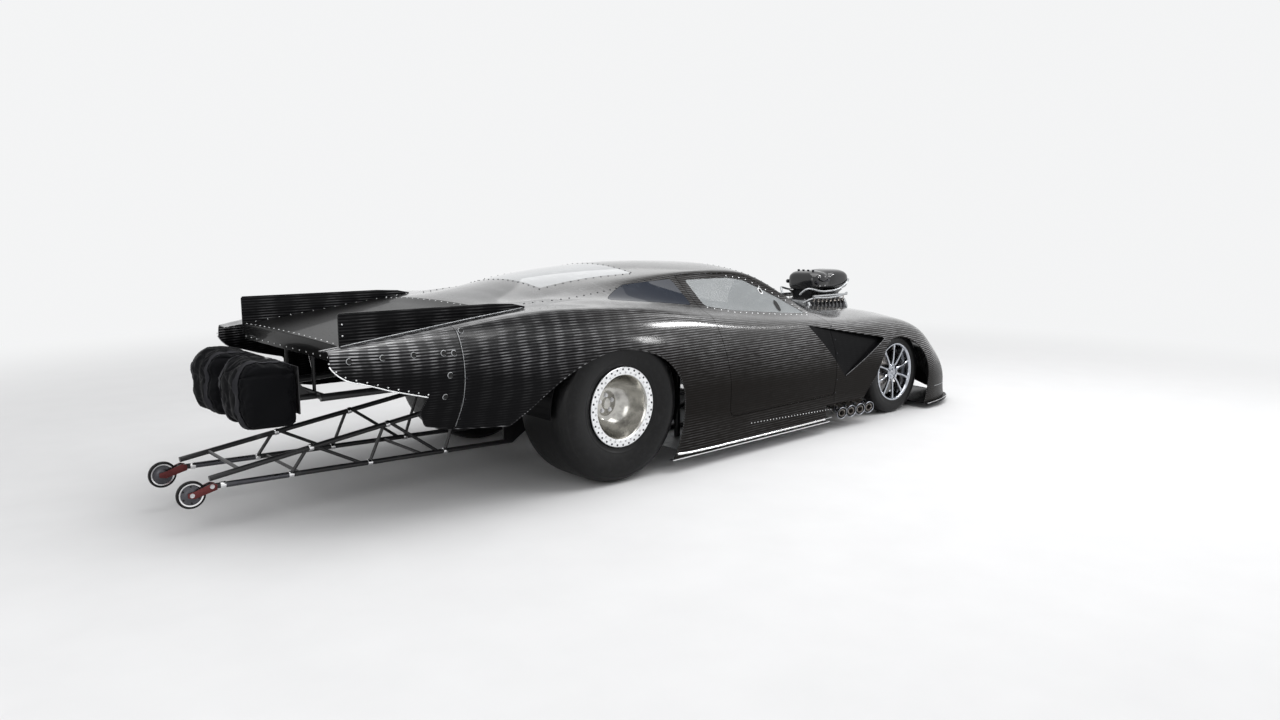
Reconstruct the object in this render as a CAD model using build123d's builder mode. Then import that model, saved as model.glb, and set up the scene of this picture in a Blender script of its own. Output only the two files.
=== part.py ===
from build123d import *
import os

os.makedirs("parts", exist_ok=True)

# A wide-bodied drag racing coupe. Millimetres, +X to the nose, +Y to the left, +Z up.
# Lengths along the car in the tables are counted from the rear axle.

# Driving dimensions
wheelbase = 2921
nose_reach = 3905
bar_reach = 2201
rear_axle_x = -(nose_reach - bar_reach) / 2
far = 1400

# Walls, gaps and fits
body_wall = 12
door_wall = 40
frame_wall = 22
glass_thick = 5
shut_gap = 6
pillar_gap = 10
panel_gap = 0.4
run_fit = 0.05
seat_gap = 0.3

# Wheels and tyres
rear_tyre_radius = 448
rear_tyre_width = 444
rear_rim_radius = 222
rear_track = 1466
front_tyre_radius = 327
front_tyre_width = 114
front_track = 1514
rear_axle_z = rear_tyre_radius
front_axle_z = front_tyre_radius
rear_wheel_y = rear_track / 2
front_wheel_y = front_track / 2
spindle_radius = 20
axle_stub_radius = 24
kingpin_y = 640
bar_wheel_radius = 68.5
bar_wheel_width = 22
bar_wheel_x = -(bar_reach - bar_wheel_radius)
bar_wheel_y = 241
bar_wheel_z = 198
bar_pin_radius = 6

# Doors
hinge_x = 2003
hinge_y = 940
hinge_heights = (400, 640)
hinge_pin_radius = 3
hinge_barrel_radius = 7
hinge_knuckle = 18
hinge_leaf = 30
hinge_leaf_in = 58
hinge_step = 6

# Tubing
frame_tube = 20
cross_tube = 18
link_tube = 12
bar_tube = 14
brace_tube = 9
header_tube = 26
header_bore = 23

# Openings and fixed panels
engine_hole_x = 2975
engine_hole_length = 760
engine_hole_width = 500
engine_hole_corner = 60
rear_seam = -1050
nose_seam = 2003
deck_front = -640
deck_rear = -1545
deck_half = 654
fence_thick = 12
fence_top = 1064
fence_corner = 8
splitter_top = 48.4
splitter_thick = 8
splitter_rear = 3240
splitter_half = 922
splitter_inner_half = 600
floor_top = 108
floor_thick = 4
firewall_x = 2070
firewall_thick = 4

# Body sections, each a half outline seen along the car:
# x, bottom w z, rocker crease w z, widest w z, shoulder w z, belt w z, middle z
body_sections = [
    (-1645, 600, 430, 690, 540, 785, 760, 772, 903, 665, 893, 903),
    (-1050, 830, 430, 885, 520, 968, 740, 880, 990, 668, 965, 975),
    (-500, 920, 230, 940, 420, 990, 700, 890, 1035, 668, 1025, 1037),
    (0, 960, 112, 965, 390, 1000, 650, 885, 1000, 752, 1042, 1052),
    (500, 985, 90, 972, 350, 985, 610, 872, 945, 752, 993, 1005),
    (1100, 958, 90, 946, 320, 957, 590, 855, 862, 745, 915, 927),
    (1600, 940, 92, 930, 300, 941, 560, 850, 818, 735, 859, 875),
    (2000, 925, 95, 915, 290, 930, 540, 852, 792, 700, 834, 862),
    (2450, 905, 95, 903, 280, 922, 520, 838, 770, 560, 815, 838),
    (2921, 895, 70, 902, 260, 915, 480, 812, 745, 520, 785, 805),
    (3300, 893, 50, 893, 200, 892, 390, 785, 638, 500, 692, 712),
    (3600, 830, 50, 822, 160, 808, 310, 695, 478, 450, 535, 556),
    (3800, 690, 50, 678, 125, 655, 225, 560, 330, 370, 372, 392),
    (3880, 560, 50, 545, 98, 520, 155, 440, 215, 300, 240, 256),
]

# Greenhouse sections: x, base w z, gutter w z, middle z
roof_sections = [
    (-640, 600, 1000, 470, 1022, 1034),
    (-430, 690, 1030, 500, 1034, 1088),
    (0, 752, 1035, 505, 1108, 1168),
    (450, 752, 995, 512, 1150, 1214),
    (860, 750, 940, 520, 1168, 1226),
    (1250, 742, 892, 522, 1164, 1214),
    (1500, 738, 865, 530, 1128, 1190),
    (1750, 724, 845, 600, 1000, 1120),
    (2000, 702, 825, 690, 838, 1020),
    (2250, 560, 815, 540, 826, 910),
    (2400, 380, 810, 360, 820, 845),
]


def across(x):
    """Plane across the car, x from the rear axle, drawn in width and height."""
    return Plane(origin=(rear_axle_x + x, 0, 0), x_dir=(0, 1, 0), z_dir=(1, 0, 0))


def side_plane(y):
    """Plane along the car at width y, drawn in length and height."""
    return Plane(origin=(rear_axle_x, y, 0), x_dir=(1, 0, 0), z_dir=(0, -1, 0))


def plan_plane(z):
    """Level plane at height z, drawn in length and width."""
    return Plane(origin=(rear_axle_x, 0, z), x_dir=(1, 0, 0), z_dir=(0, 0, 1))


def lower_body(wall, drop, end_shift):
    """Body below the belt line, set in by the wall, its bottom let down by the drop."""
    lean = 0.8 * wall
    last = len(body_sections) - 1
    with BuildPart() as body:
        for row, values in enumerate(body_sections):
            x, bot_w, bot_z, crease_w, crease_z, wide_w, wide_z = values[:7]
            top_w, top_z, belt_w, belt_z, mid_z = values[7:]
            x += end_shift if row == 0 else 0
            x -= wall if row == last else 0
            bottom = (bot_w - wall, bot_z - drop)
            crease = (crease_w - wall, crease_z)
            wide = (wide_w - wall, wide_z)
            shoulder = (top_w - lean, top_z - lean)
            belt = (belt_w - 0.3 * wall, belt_z - wall)
            with BuildSketch(across(x)):
                with BuildLine():
                    Polyline((-bottom[0], bottom[1]), bottom, crease)
                    ThreePointArc(crease, wide, shoulder)
                    Line(shoulder, belt)
                    ThreePointArc(belt, (0, mid_z - wall), (-belt[0], belt[1]))
                    Line((-belt[0], belt[1]), (-shoulder[0], shoulder[1]))
                    ThreePointArc((-shoulder[0], shoulder[1]), (-wide[0], wide[1]), (-crease[0], crease[1]))
                    Line((-crease[0], crease[1]), (-bottom[0], bottom[1]))
                make_face()
        loft()
    return body.part


def greenhouse(wall, drop):
    """Roof and window band above the belt line, set in by the wall."""
    with BuildPart() as roof:
        for x, base_w, base_z, gutter_w, gutter_z, mid_z in roof_sections:
            base = (base_w - wall, base_z - drop)
            gutter = (gutter_w - wall, gutter_z - 0.6 * wall)
            with BuildSketch(across(x)):
                with BuildLine():
                    Polyline((-gutter[0], gutter[1]), (-base[0], base[1]), base, gutter)
                    ThreePointArc(gutter, (0, mid_z - wall), (-gutter[0], gutter[1]))
                make_face()
        loft()
    return roof.part


def side_prism(points, start_y, end_y, inset=0):
    """Prism across the car over a side-view outline, between two widths."""
    with BuildPart() as prism:
        with BuildSketch(side_plane(start_y)):
            with BuildLine():
                Polyline(*points, close=True)
            make_face()
            if inset:
                offset(amount=-inset, kind=Kind.INTERSECTION, mode=Mode.REPLACE)
        extrude(amount=start_y - end_y)
    return prism.part


def round_bar(start, end, radius):
    """Straight round bar between two points, x counted from the rear axle."""
    first = Vector(rear_axle_x + start[0], start[1], start[2])
    run = Vector(rear_axle_x + end[0], end[1], end[2]) - first
    with BuildPart() as bar:
        with BuildSketch(Plane(origin=first, z_dir=run)):
            Circle(radius)
        extrude(amount=run.length)
    return bar.part


def bent_bar(points, radius, bend=0):
    """Round bar along a run of points, bent to one inner radius at each corner between them."""
    route = [Vector(rear_axle_x + x, y, z) for x, y, z in points]
    with BuildPart() as bar:
        with BuildLine() as path:
            if len(route) == 2:
                Line(*route)
            else:
                FilletPolyline(*route, radius=bend)
        with BuildSketch(Plane(origin=path.line @ 0, z_dir=path.line % 0)):
            Circle(radius)
        sweep(path=path.line)
    return bar.part


def both_sides(rows):
    """The bars of a table and their mirror images; each row is a radius, a bend and the points."""
    result = []
    for radius, bend, *points in rows:
        for side in (1, -1):
            result.append(bent_bar([(x, side * y, z) for x, y, z in points], radius, bend))
    return result


def all_bars(rows):
    """The bars of a table as they stand."""
    return [bent_bar(points, radius, bend) for radius, bend, *points in rows]


def block(x_range, y_range, z_range):
    """Plain block between limits, x counted from the rear axle."""
    size = [high - low for low, high in (x_range, y_range, z_range)]
    centre = (rear_axle_x + sum(x_range) / 2, sum(y_range) / 2, sum(z_range) / 2)
    with BuildPart(Plane(origin=centre)) as solid:
        Box(*size)
    return solid.part


def turned(profile, centre, side):
    """Ring turned about a crosswise axis; the profile is radius and width out from the middle."""
    x, z = centre
    with BuildPart() as ring:
        with BuildSketch(Plane(origin=(rear_axle_x + x, 0, z), x_dir=(0, 0, 1), z_dir=(-1, 0, 0))):
            with BuildLine():
                Polyline(*[(r, side * y) for r, y in profile], close=True)
            make_face()
        revolve(axis=Axis((rear_axle_x + x, 0, z), (0, 1, 0)))
    return ring


# Body cutting tools
tool_end = 4200

outer_skin = lower_body(0, 0, 0) + greenhouse(0, 60)
inner_skin = lower_body(body_wall, 60, -20)
inner_roof = greenhouse(body_wall, 200)
door_inner = lower_body(door_wall, 60, -20)
door_inner_roof = greenhouse(frame_wall, 200)
glass_roof = greenhouse(glass_thick, 200)

with BuildPart() as rear_opening:
    with BuildSketch(side_plane(far)):
        with BuildLine():
            Line((360, -10), (360, 95))
            ThreePointArc((360, 95), (450, 330), (428, 530))
            ThreePointArc((428, 530), (330, 670), (170, 752))
            ThreePointArc((170, 752), (-10, 785), (-190, 772))
            ThreePointArc((-190, 772), (-420, 690), (-640, 545))
            Polyline((-640, 545), (-760, 450), (-1060, 465), (-1190, 490), (-1240, 575), (-1220, 655))
            Polyline((-1220, 655), (-1390, 700), (-1520, 745))
            ThreePointArc((-1520, 745), (-1600, 775), (-1655, 845))
            Polyline((-1655, 845), (-1700, 845), (-1700, -10), (360, -10))
        make_face()
    extrude(amount=2 * far)

with BuildPart() as front_opening:
    with BuildSketch(side_plane(far)):
        with BuildLine():
            Polyline((1900, 205), (2380, 200), (2460, 286), (2520, 360))
            ThreePointArc((2520, 360), (2560, 440), (2610, 505))
            ThreePointArc((2610, 505), (2700, 590), (2840, 619))
            ThreePointArc((2840, 619), (3050, 570), (3200, 466))
            ThreePointArc((3200, 466), (3272, 270), (3225, 44))
            Polyline((3225, 44), (3225, -10), (1900, -10), (1900, 205))
        make_face()
    extrude(amount=2 * far)

with BuildPart() as engine_opening:
    with BuildSketch(plan_plane(600)):
        with Locations((engine_hole_x, 0)):
            RectangleRounded(engine_hole_length, engine_hole_width, engine_hole_corner)
    extrude(amount=400)


def windshield_zone(grow):
    """Plan area of the windshield, from the roof's front edge to the cowl."""
    with BuildPart() as zone:
        with BuildSketch(plan_plane(830)):
            with BuildLine():
                ThreePointArc((1475, -462), (1500, 0), (1475, 462))
                Line((1475, 462), (1975, 632))
                ThreePointArc((1975, 632), (2340, 0), (1975, -632))
                Line((1975, -632), (1475, -462))
            make_face()
            if grow:
                offset(amount=grow, kind=Kind.INTERSECTION, mode=Mode.REPLACE)
        extrude(amount=500)
    return zone.part


def rear_window_zone(grow):
    """Plan area of the rear window."""
    with BuildPart() as zone:
        with BuildSketch(plan_plane(900)):
            with BuildLine():
                Polyline((-170, -372), (-170, 372), (500, 430), (500, -430), close=True)
            make_face()
            if grow:
                offset(amount=grow, kind=Kind.INTERSECTION, mode=Mode.REPLACE)
        extrude(amount=500)
    return zone.part


door_outline = [(873, 300), (860, 510), (806, 925), (775, 1150), (1250, 1148), (1440, 1122),
                (1750, 983), (1985, 838), (1997, 800), (1997, 276)]
door_hole = [(873 - shut_gap, 300 - shut_gap), (860 - shut_gap, 510), (806 - pillar_gap, 925),
             (775 - pillar_gap, 1150 + shut_gap), (1251, 1148 + shut_gap), (1443, 1122 + shut_gap),
             (1753, 983 + shut_gap), (1988, 838 + shut_gap), (2003, 803), (2003, 276 - shut_gap)]
door_window = [(862, 962), (838, 1124), (1245, 1122), (1400, 1098), (1700, 962), (1912, 846),
               (1600, 872), (1105, 920)]
quarter_window = [(60, 1046), (310, 1114), (725, 1134), (745, 975), (420, 1012)]


# Seams between the panels


def cowl_zone(grow):
    """Plan area of the cowl ahead of the door seam, which stays with the cabin body."""
    with BuildPart() as zone:
        with BuildSketch(plan_plane(700)):
            with BuildLine():
                ThreePointArc((1990, 706), (2425, 0), (1990, -706))
                Polyline((1990, -706), (1900, -706), (1900, 706), (1990, 706))
            make_face()
            if grow:
                offset(amount=grow, kind=Kind.INTERSECTION, mode=Mode.REPLACE)
        extrude(amount=500)
    return zone.part


with BuildPart() as body_shell:
    add(outer_skin)
    add(inner_skin, mode=Mode.SUBTRACT)
    add(inner_roof, mode=Mode.SUBTRACT)
    add(rear_opening.part, mode=Mode.SUBTRACT)
    add(front_opening.part, mode=Mode.SUBTRACT)

with BuildPart() as cabin_zone:
    add(block((rear_seam + panel_gap, nose_seam - panel_gap), (-far, far), (-50, 1500)))
    add(cowl_zone(0))


def hinge_parts(side, own):
    """Hinge knuckles and leaf at the door's leading edge; own is the door or the fender side."""
    axis = (rear_axle_x + hinge_x, side * hinge_y)
    direction = -1 if own == "door" else 1
    rows = (1,) if own == "door" else (0, 2)
    with BuildPart() as hinge:
        for height in hinge_heights:
            low = height - 1.5 * hinge_knuckle
            for row in rows:
                foot = Plane(origin=(*axis, low + row * hinge_knuckle + seat_gap))
                with BuildSketch(foot):
                    Circle(hinge_barrel_radius)
                    with Locations((direction * hinge_leaf / 2, -side * (hinge_leaf_in / 2 - 4))):
                        Rectangle(hinge_leaf - hinge_barrel_radius, hinge_leaf_in)
                    with Locations((direction * hinge_barrel_radius, -side * hinge_step / 2)):
                        Rectangle(hinge_step, hinge_step)
                extrude(amount=hinge_knuckle - 2 * seat_gap)
            with BuildSketch(Plane(origin=(*axis, low))):
                Circle(hinge_pin_radius + (run_fit if own == "door" else 0))
            extrude(amount=3 * hinge_knuckle, mode=Mode.SUBTRACT if own == "door" else Mode.ADD)
    return hinge.part


# Fixed body panels
with BuildPart() as front_clip:
    add(body_shell.part)
    add(block((nose_seam, tool_end), (-far, far), (-50, 1500)), mode=Mode.INTERSECT)
    add(cowl_zone(panel_gap), mode=Mode.SUBTRACT)
    add(engine_opening.part, mode=Mode.SUBTRACT)
    for side in (1, -1):
        add(hinge_parts(side, "fender"))

with BuildPart() as center_body:
    add(body_shell.part)
    add(cabin_zone.part, mode=Mode.INTERSECT)
    add(block((-2000, deck_front), (-deck_half - panel_gap, deck_half + panel_gap), (600, 1400)),
        mode=Mode.SUBTRACT)
    add(side_prism(door_hole, far, -far), mode=Mode.SUBTRACT)
    add(side_prism(quarter_window, far, -far), mode=Mode.SUBTRACT)
    add(windshield_zone(0), mode=Mode.SUBTRACT)
    add(rear_window_zone(0), mode=Mode.SUBTRACT)

with BuildPart() as tail_section:
    add(body_shell.part)
    add(block((-1800, rear_seam - panel_gap), (-far, far), (-50, 1500)), mode=Mode.INTERSECT)
    add(block((-2000, 0), (-deck_half - panel_gap, deck_half + panel_gap), (600, 1400)),
        mode=Mode.SUBTRACT)

rear_face_bottom = 822
rear_face_thick = 8
rear_face_inset = 20
with BuildPart() as rear_face:
    add(outer_skin)
    add(block((deck_rear, deck_rear + rear_face_thick), (rear_face_inset - deck_half, deck_half - rear_face_inset),
              (rear_face_bottom, 1000)), mode=Mode.INTERSECT)

with BuildPart() as deck_panel:
    add(body_shell.part)
    add(block((deck_rear, deck_front - panel_gap), (-deck_half, deck_half), (700, 1400)), mode=Mode.INTERSECT)
    add(rear_face.part)

fence_outline = [(deck_rear, 840), (deck_rear, fence_top - fence_corner), (deck_rear + fence_corner, fence_top),
                 (-1480, fence_top), (-700, fence_top - 2), (-480, fence_top - 14), (-480, 900)]
with BuildPart() as spoiler_fences:
    for side in (1, -1):
        inner = side * (deck_half + panel_gap)
        add(side_prism(fence_outline, inner + side * fence_thick, inner))
    add(outer_skin, mode=Mode.SUBTRACT)

with BuildPart() as front_splitter:
    with BuildSketch(plan_plane(splitter_top - splitter_thick)):
        with BuildLine():
            Polyline((splitter_rear, splitter_inner_half), (splitter_rear, splitter_half), (3300, splitter_half))
            ThreePointArc((3300, splitter_half), (3640, 850), (3812, 720))
            ThreePointArc((3812, 720), (nose_reach, 0), (3812, -720))
            ThreePointArc((3812, -720), (3640, -850), (3300, -splitter_half))
            Polyline((3300, -splitter_half), (splitter_rear, -splitter_half), (splitter_rear, -splitter_inner_half),
                     (splitter_rear, splitter_inner_half))
        make_face()
    extrude(amount=splitter_thick)

strip_top = 89
strip_thick = 6
strip_outline = [(345, 955), (345, 990), (1100, 962), (1600, 944), (1940, 931), (1940, 896), (1600, 909),
                 (1100, 927)]
with BuildPart() as rocker_strips:
    for side in (1, -1):
        with BuildSketch(plan_plane(strip_top - strip_thick)):
            with BuildLine():
                Polyline(*[(x, side * y) for x, y in strip_outline], close=True)
            make_face()
        extrude(amount=strip_thick)

# Glass, set in the window openings
with BuildPart() as glass_skin:
    add(outer_skin)
    add(glass_roof, mode=Mode.SUBTRACT)
    add(block((-2000, tool_end), (-far, far), (-50, 830)), mode=Mode.SUBTRACT)

with BuildPart() as windshield:
    add(glass_skin.part)
    add(windshield_zone(-seat_gap), mode=Mode.INTERSECT)

with BuildPart() as rear_window:
    add(glass_skin.part)
    add(rear_window_zone(-seat_gap), mode=Mode.INTERSECT)

with BuildPart() as rear_glass:
    add(glass_skin.part)
    add(side_prism(quarter_window, far, -far, seat_gap), mode=Mode.INTERSECT)
    add(block((-2000, tool_end), (-300, 300), (-50, 1500)), mode=Mode.SUBTRACT)
    add(rear_window.part)

# Doors, each as thick as the whole door
doors = {}
door_glasses = {}
for name, side in (("left", 1), ("right", -1)):
    with BuildPart() as door:
        add(outer_skin)
        add(side_prism(door_outline, side * far, side * 350), mode=Mode.INTERSECT)
        add(door_inner, mode=Mode.SUBTRACT)
        add(door_inner_roof, mode=Mode.SUBTRACT)
        add(side_prism(door_window, side * far, 0), mode=Mode.SUBTRACT)
        add(hinge_parts(side, "door"))
    doors[name] = door
    with BuildPart() as glass:
        add(glass_skin.part)
        add(side_prism(door_window, side * far, side * 350, seat_gap), mode=Mode.INTERSECT)
    door_glasses[name] = glass

# Floor, wheel tubs, firewall and the plate behind the engine
engine_rear = 2560
crank_z = 320
gearbox_z = 300
bell_hole_radius = 245
firewall_half = 800
firewall_top = 740
plate_half = 365
plate_thick = 8
shell_fill = lower_body(body_wall + seat_gap, 60, -20)
with BuildPart() as floor_pan:
    add(block((500, 1990), (-far, far), (floor_top - floor_thick, floor_top)))
    add(shell_fill, mode=Mode.INTERSECT)

tub_radius = 480
tub_wall = 4
tub_inner = 491
tub_outer = 890
with BuildPart() as tub_flanges:
    for side in (1, -1):
        flange = [(tub_radius, tub_outer - 1), (tub_radius, far), (tub_radius - tub_wall, far),
                  (tub_radius - tub_wall, tub_outer - 1)]
        add(turned(flange, (0, rear_axle_z), side).part)
    add(block((-600, 600), (-far, far), (-100, 800)), mode=Mode.SUBTRACT)
    add(shell_fill, mode=Mode.INTERSECT)

with BuildPart() as rear_tubs:
    for side in (1, -1):
        profile = [(60, tub_inner), (tub_radius, tub_inner), (tub_radius, tub_outer),
                   (tub_radius - tub_wall, tub_outer),
                   (tub_radius - tub_wall, tub_inner + tub_wall), (60, tub_inner + tub_wall)]
        add(turned(profile, (0, rear_axle_z), side).part)
    add(block((-600, 600), (-far, far), (-100, 300)), mode=Mode.SUBTRACT)
    add(block((-600, 0), (-far, far), (-100, 430)), mode=Mode.SUBTRACT)
    add(tub_flanges.part)

wall_foot = floor_top + 2 * frame_tube + 2 * panel_gap
with BuildPart() as bulkheads:
    with BuildSketch(across(firewall_x)):
        with BuildLine():
            Polyline((-firewall_half, wall_foot), (-firewall_half, 600), (-700, firewall_top), (700, firewall_top),
                     (firewall_half, 600), (firewall_half, wall_foot), close=True)
        make_face()
        with Locations((0, gearbox_z)):
            Circle(bell_hole_radius, mode=Mode.SUBTRACT)
    extrude(amount=firewall_thick)
    with BuildSketch(across(engine_rear - panel_gap - plate_thick)):
        with BuildLine():
            Polyline((-plate_half, wall_foot), (-plate_half, 300), (-290, 620), (290, 620), (plate_half, 300),
                     (plate_half, wall_foot), close=True)
        make_face()
    extrude(amount=plate_thick)

dash_half = 562
cage_foot = floor_top + panel_gap
cage_half = 600
hoop_x = 750
cage_leg = [(760, 452, 1108), (1430, 445, 1096), (1950, 585, 815), (2030, cage_half, 640),
            (2030, cage_half, cage_foot)]
cage_bend = 90
with BuildPart() as dashboard:
    with BuildSketch(side_plane(dash_half)):
        with BuildLine():
            Polyline((1770, 690), (1770, 740), (1800, 790))
            ThreePointArc((1800, 790), (1880, 815), (1985, 800))
            Polyline((1985, 800), (1985, 780), (1810, 770), (1782, 735), (1782, 690), (1770, 690))
        make_face()
    extrude(amount=2 * dash_half)

# Tube frame and roll cage
tow_eye_x = -1534
tow_eye_radius = 13
tow_eye_z = 600
tow_plate_thick = 10
jack_pad_z = 100
jack_pad_length = 100
jack_pad_width = 120
rack_x = wheelbase - 130
rack_z = 255
rack_bar = 9
rail_z = floor_top + frame_tube + panel_gap
rail_y = 430
front_rail_y = 340
rear_cross_x = -1480
rail_bars = [
    (frame_tube, 70, (500, rail_y, rail_z), (1950, rail_y, rail_z), (2300, front_rail_y, rail_z),
     (3390, front_rail_y, rail_z), (3390, 345, 330), (2960, 540, 665), (2090, 540, 665)),
    (frame_tube, 90, (540, rail_y, rail_z), (450, 400, 560), (-700, 400, 620), (-1500, 300, 600)),
    (cross_tube, 0, (2100, 392, rail_z), (2100, 540, 665)),
]
cross_bars = [
    (cross_tube, 0, (3388, 342, 200), (3388, -342, 200)),
    (cross_tube, 0, (rack_x, front_rail_y, rail_z), (rack_x, -front_rail_y, rail_z)),
    (cross_tube, 0, (1400, rail_y, rail_z), (1400, -rail_y, rail_z)),
    (cross_tube, 0, (560, rail_y, rail_z), (560, -rail_y, rail_z)),
    (cross_tube, 0, (360, 400, 566), (360, -400, 566)),
    (cross_tube, 0, (-690, 400, 619), (-690, -400, 619)),
    (cross_tube, 0, (rear_cross_x, 302, 601), (rear_cross_x, -302, 601)),
]
with BuildPart() as chassis_frame:
    add(both_sides(rail_bars))
    add(all_bars(cross_bars))
    add(block((rack_x - jack_pad_length / 2, rack_x + jack_pad_length / 2), (-jack_pad_width / 2, jack_pad_width / 2),
              (jack_pad_z, rail_z - 14)))

cage_bars = [
    (frame_tube, 110, (hoop_x, cage_half, cage_foot), (hoop_x, cage_half, 720), (hoop_x, 450, 1112),
     (hoop_x, 0, 1112)),
    (frame_tube, cage_bend, *cage_leg),
    (cross_tube, 0, (hoop_x, cage_half, 560), (2030, cage_half, 300)),
    (cross_tube, 0, (hoop_x, cage_half, 300), (2030, cage_half, 562)),
    (cross_tube, 90, (755, 440, 1108), (-420, 400, 895), (-560, 400, 620)),
]
cage_cross_bars = [
    (cross_tube, 0, (1400, 440, 1097), (1400, -440, 1097)),
    (cross_tube, 0, (hoop_x, cage_half, 620), (hoop_x, -cage_half, 620)),
    (cross_tube, 0, (2030, cage_half, 610), (2030, -cage_half, 610)),
    (cross_tube, 0, (-300, 404, 917), (-300, -404, 917)),
]
with BuildPart() as roll_cage:
    add(both_sides(cage_bars))
    add(all_bars(cage_cross_bars))
    add(chassis_frame.part, mode=Mode.SUBTRACT)

# Seat, steering wheel and column
seat_y = 310
seat_half = 200
seat_wing_thick = 25
seat_foot_half = 150
seat_foot_width = 40
with BuildPart() as driver_seat:
    seat_shell = [(860, 300), (800, 860), (835, 862), (895, 322), (960, 225), (1290, 300), (1330, 270),
                  (950, 185), (890, 200)]
    wing = [(890, 200), (800, 860), (900, 850), (990, 560), (1180, 400), (1320, 330), (1330, 270), (950, 185)]
    add(side_prism(seat_shell, seat_y + seat_half, seat_y - seat_half))
    add(side_prism(wing, seat_y + seat_half, seat_y + seat_half - seat_wing_thick))
    add(side_prism(wing, seat_y - seat_half + seat_wing_thick, seat_y - seat_half))
    add(block((940, 1250), (seat_y - seat_foot_half, seat_y + seat_foot_half), (rail_z + frame_tube + seat_gap, 200)))
    for foot_x in (950, 1210):
        add(block((foot_x, foot_x + 30), (seat_y - seat_foot_half, seat_y - seat_foot_half + seat_foot_width),
                  (floor_top + panel_gap, 200)))

steering_radius = 140
steering_rim = 24
steering_thick = 22
steering_hub_radius = 38
column_radius = 16
wheel_centre = Vector(rear_axle_x + 1540, seat_y, 770)
column_end = Vector(rear_axle_x + firewall_x, seat_y, 520)
column_run = (column_end - wheel_centre).normalized()
with BuildPart() as steering_wheel:
    with BuildSketch(Plane(origin=wheel_centre, z_dir=column_run)):
        Circle(steering_radius)
        Circle(steering_radius - steering_rim, mode=Mode.SUBTRACT)
        Rectangle(240, 34)
        with Locations((0, -60)):
            Rectangle(30, 120)
        Circle(steering_hub_radius)
    extrude(amount=steering_thick)
    with BuildSketch(Plane(origin=wheel_centre + column_run * steering_thick, z_dir=column_run)):
        Circle(column_radius)
    extrude(amount=(column_end - wheel_centre).length)
    add(block((firewall_x - seat_gap, tool_end), (-far, far), (0, 900)), mode=Mode.SUBTRACT)

# Engine, drive line
engine_front = 3180
with BuildPart() as engine_block:
    with BuildSketch(across(engine_rear)):
        with BuildLine():
            Polyline((-120, 300), (120, 300), (150, 400), (288, 520), (288, 600), (200, 690), (90, 640),
                     (-90, 640), (-200, 690), (-288, 600), (-288, 520), (-150, 400), close=True)
        make_face()
    extrude(amount=engine_front - engine_rear)

blower_low = 641
blower_high = 858
blower_rear = 2660
blower_length = 480
rib_count = 9
rib_start = 2690
rib_pitch = 50
rib_thick = 8
with BuildPart() as supercharger:
    with BuildSketch(across(blower_rear)):
        with BuildLine():
            Polyline((-85, blower_low), (85, blower_low), (85, 700), (150, 735))
            ThreePointArc((150, 735), (172, 790), (130, blower_high - 6))
            Polyline((130, blower_high - 6), (100, blower_high), (-100, blower_high), (-130, blower_high - 6))
            ThreePointArc((-130, blower_high - 6), (-172, 790), (-150, 735))
            Polyline((-150, 735), (-85, 700), (-85, blower_low))
        make_face()
    extrude(amount=blower_length)
    for rib in range(rib_count):
        rib_x = rib_start + rib * rib_pitch
        add(block((rib_x, rib_x + rib_thick), (-180, 180), (740, 850)))

hat_low = blower_high + panel_gap
hat_base_height = 70
hat_height = 172
hat_round = 55
hat_mouth_x = 3210
hat_mouth_depth = 300
with BuildPart() as injector_hat:
    with BuildSketch(plan_plane(hat_low)):
        with Locations((2930, 0)):
            RectangleRounded(400, 220, 30)
    extrude(amount=hat_base_height)
    with BuildSketch(plan_plane(hat_low + hat_base_height)):
        with Locations((2960, 0)):
            RectangleRounded(470, 300, 60)
    extrude(amount=hat_height)
    top_rim = injector_hat.faces().sort_by(Axis.Z)[-1].edges()
    fillet(top_rim, hat_round)
    with BuildSketch(across(hat_mouth_x)):
        with Locations((0, hat_low + 140)):
            RectangleRounded(250, 96, 40)
    extrude(amount=-hat_mouth_depth, mode=Mode.SUBTRACT)

drive_x = engine_front + panel_gap
pulley_width = 76
belt_inset = 4
belt_thick = 8
pulley_gap = 6
drive_hub_radius = 40
crank_pulley = (420, 72)
blower_pulley = (792, 62)
with BuildPart() as blower_drive:
    for height, radius in (crank_pulley, blower_pulley):
        with BuildSketch(across(drive_x + pulley_gap)):
            with Locations((0, height)):
                Circle(radius)
        extrude(amount=pulley_width)
    with BuildSketch(across(drive_x + pulley_gap + belt_inset)):
        with BuildLine():
            top_z, top_r = blower_pulley[0], blower_pulley[1] + belt_thick
            low_z, low_r = crank_pulley[0], crank_pulley[1] + belt_thick
            ThreePointArc((-top_r, top_z), (0, top_z + top_r), (top_r, top_z))
            Line((top_r, top_z), (low_r, low_z))
            ThreePointArc((low_r, low_z), (0, low_z - low_r), (-low_r, low_z))
            Line((-low_r, low_z), (-top_r, top_z))
        make_face()
        offset(amount=-belt_thick, mode=Mode.SUBTRACT)
    extrude(amount=pulley_width - 2 * belt_inset)
    snout_start = blower_rear + blower_length + panel_gap
    with BuildSketch(across(snout_start)):
        with Locations((0, blower_pulley[0])):
            Circle(drive_hub_radius)
    extrude(amount=drive_x + pulley_gap - snout_start)
    with BuildSketch(across(drive_x)):
        with Locations((0, crank_pulley[0])):
            Circle(drive_hub_radius)
    extrude(amount=pulley_gap)

port_x = (2690, 2820, 2950, 3080)
outlet_x = (2110, 2220, 2330, 2440)
port_z = 560
outlet_y = 912
outlet_z = 122
header_bends = (45, 90)
header_bore_depth = 160
flange_face = 300
flange_thick = 11.6
flange_half = 38


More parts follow.
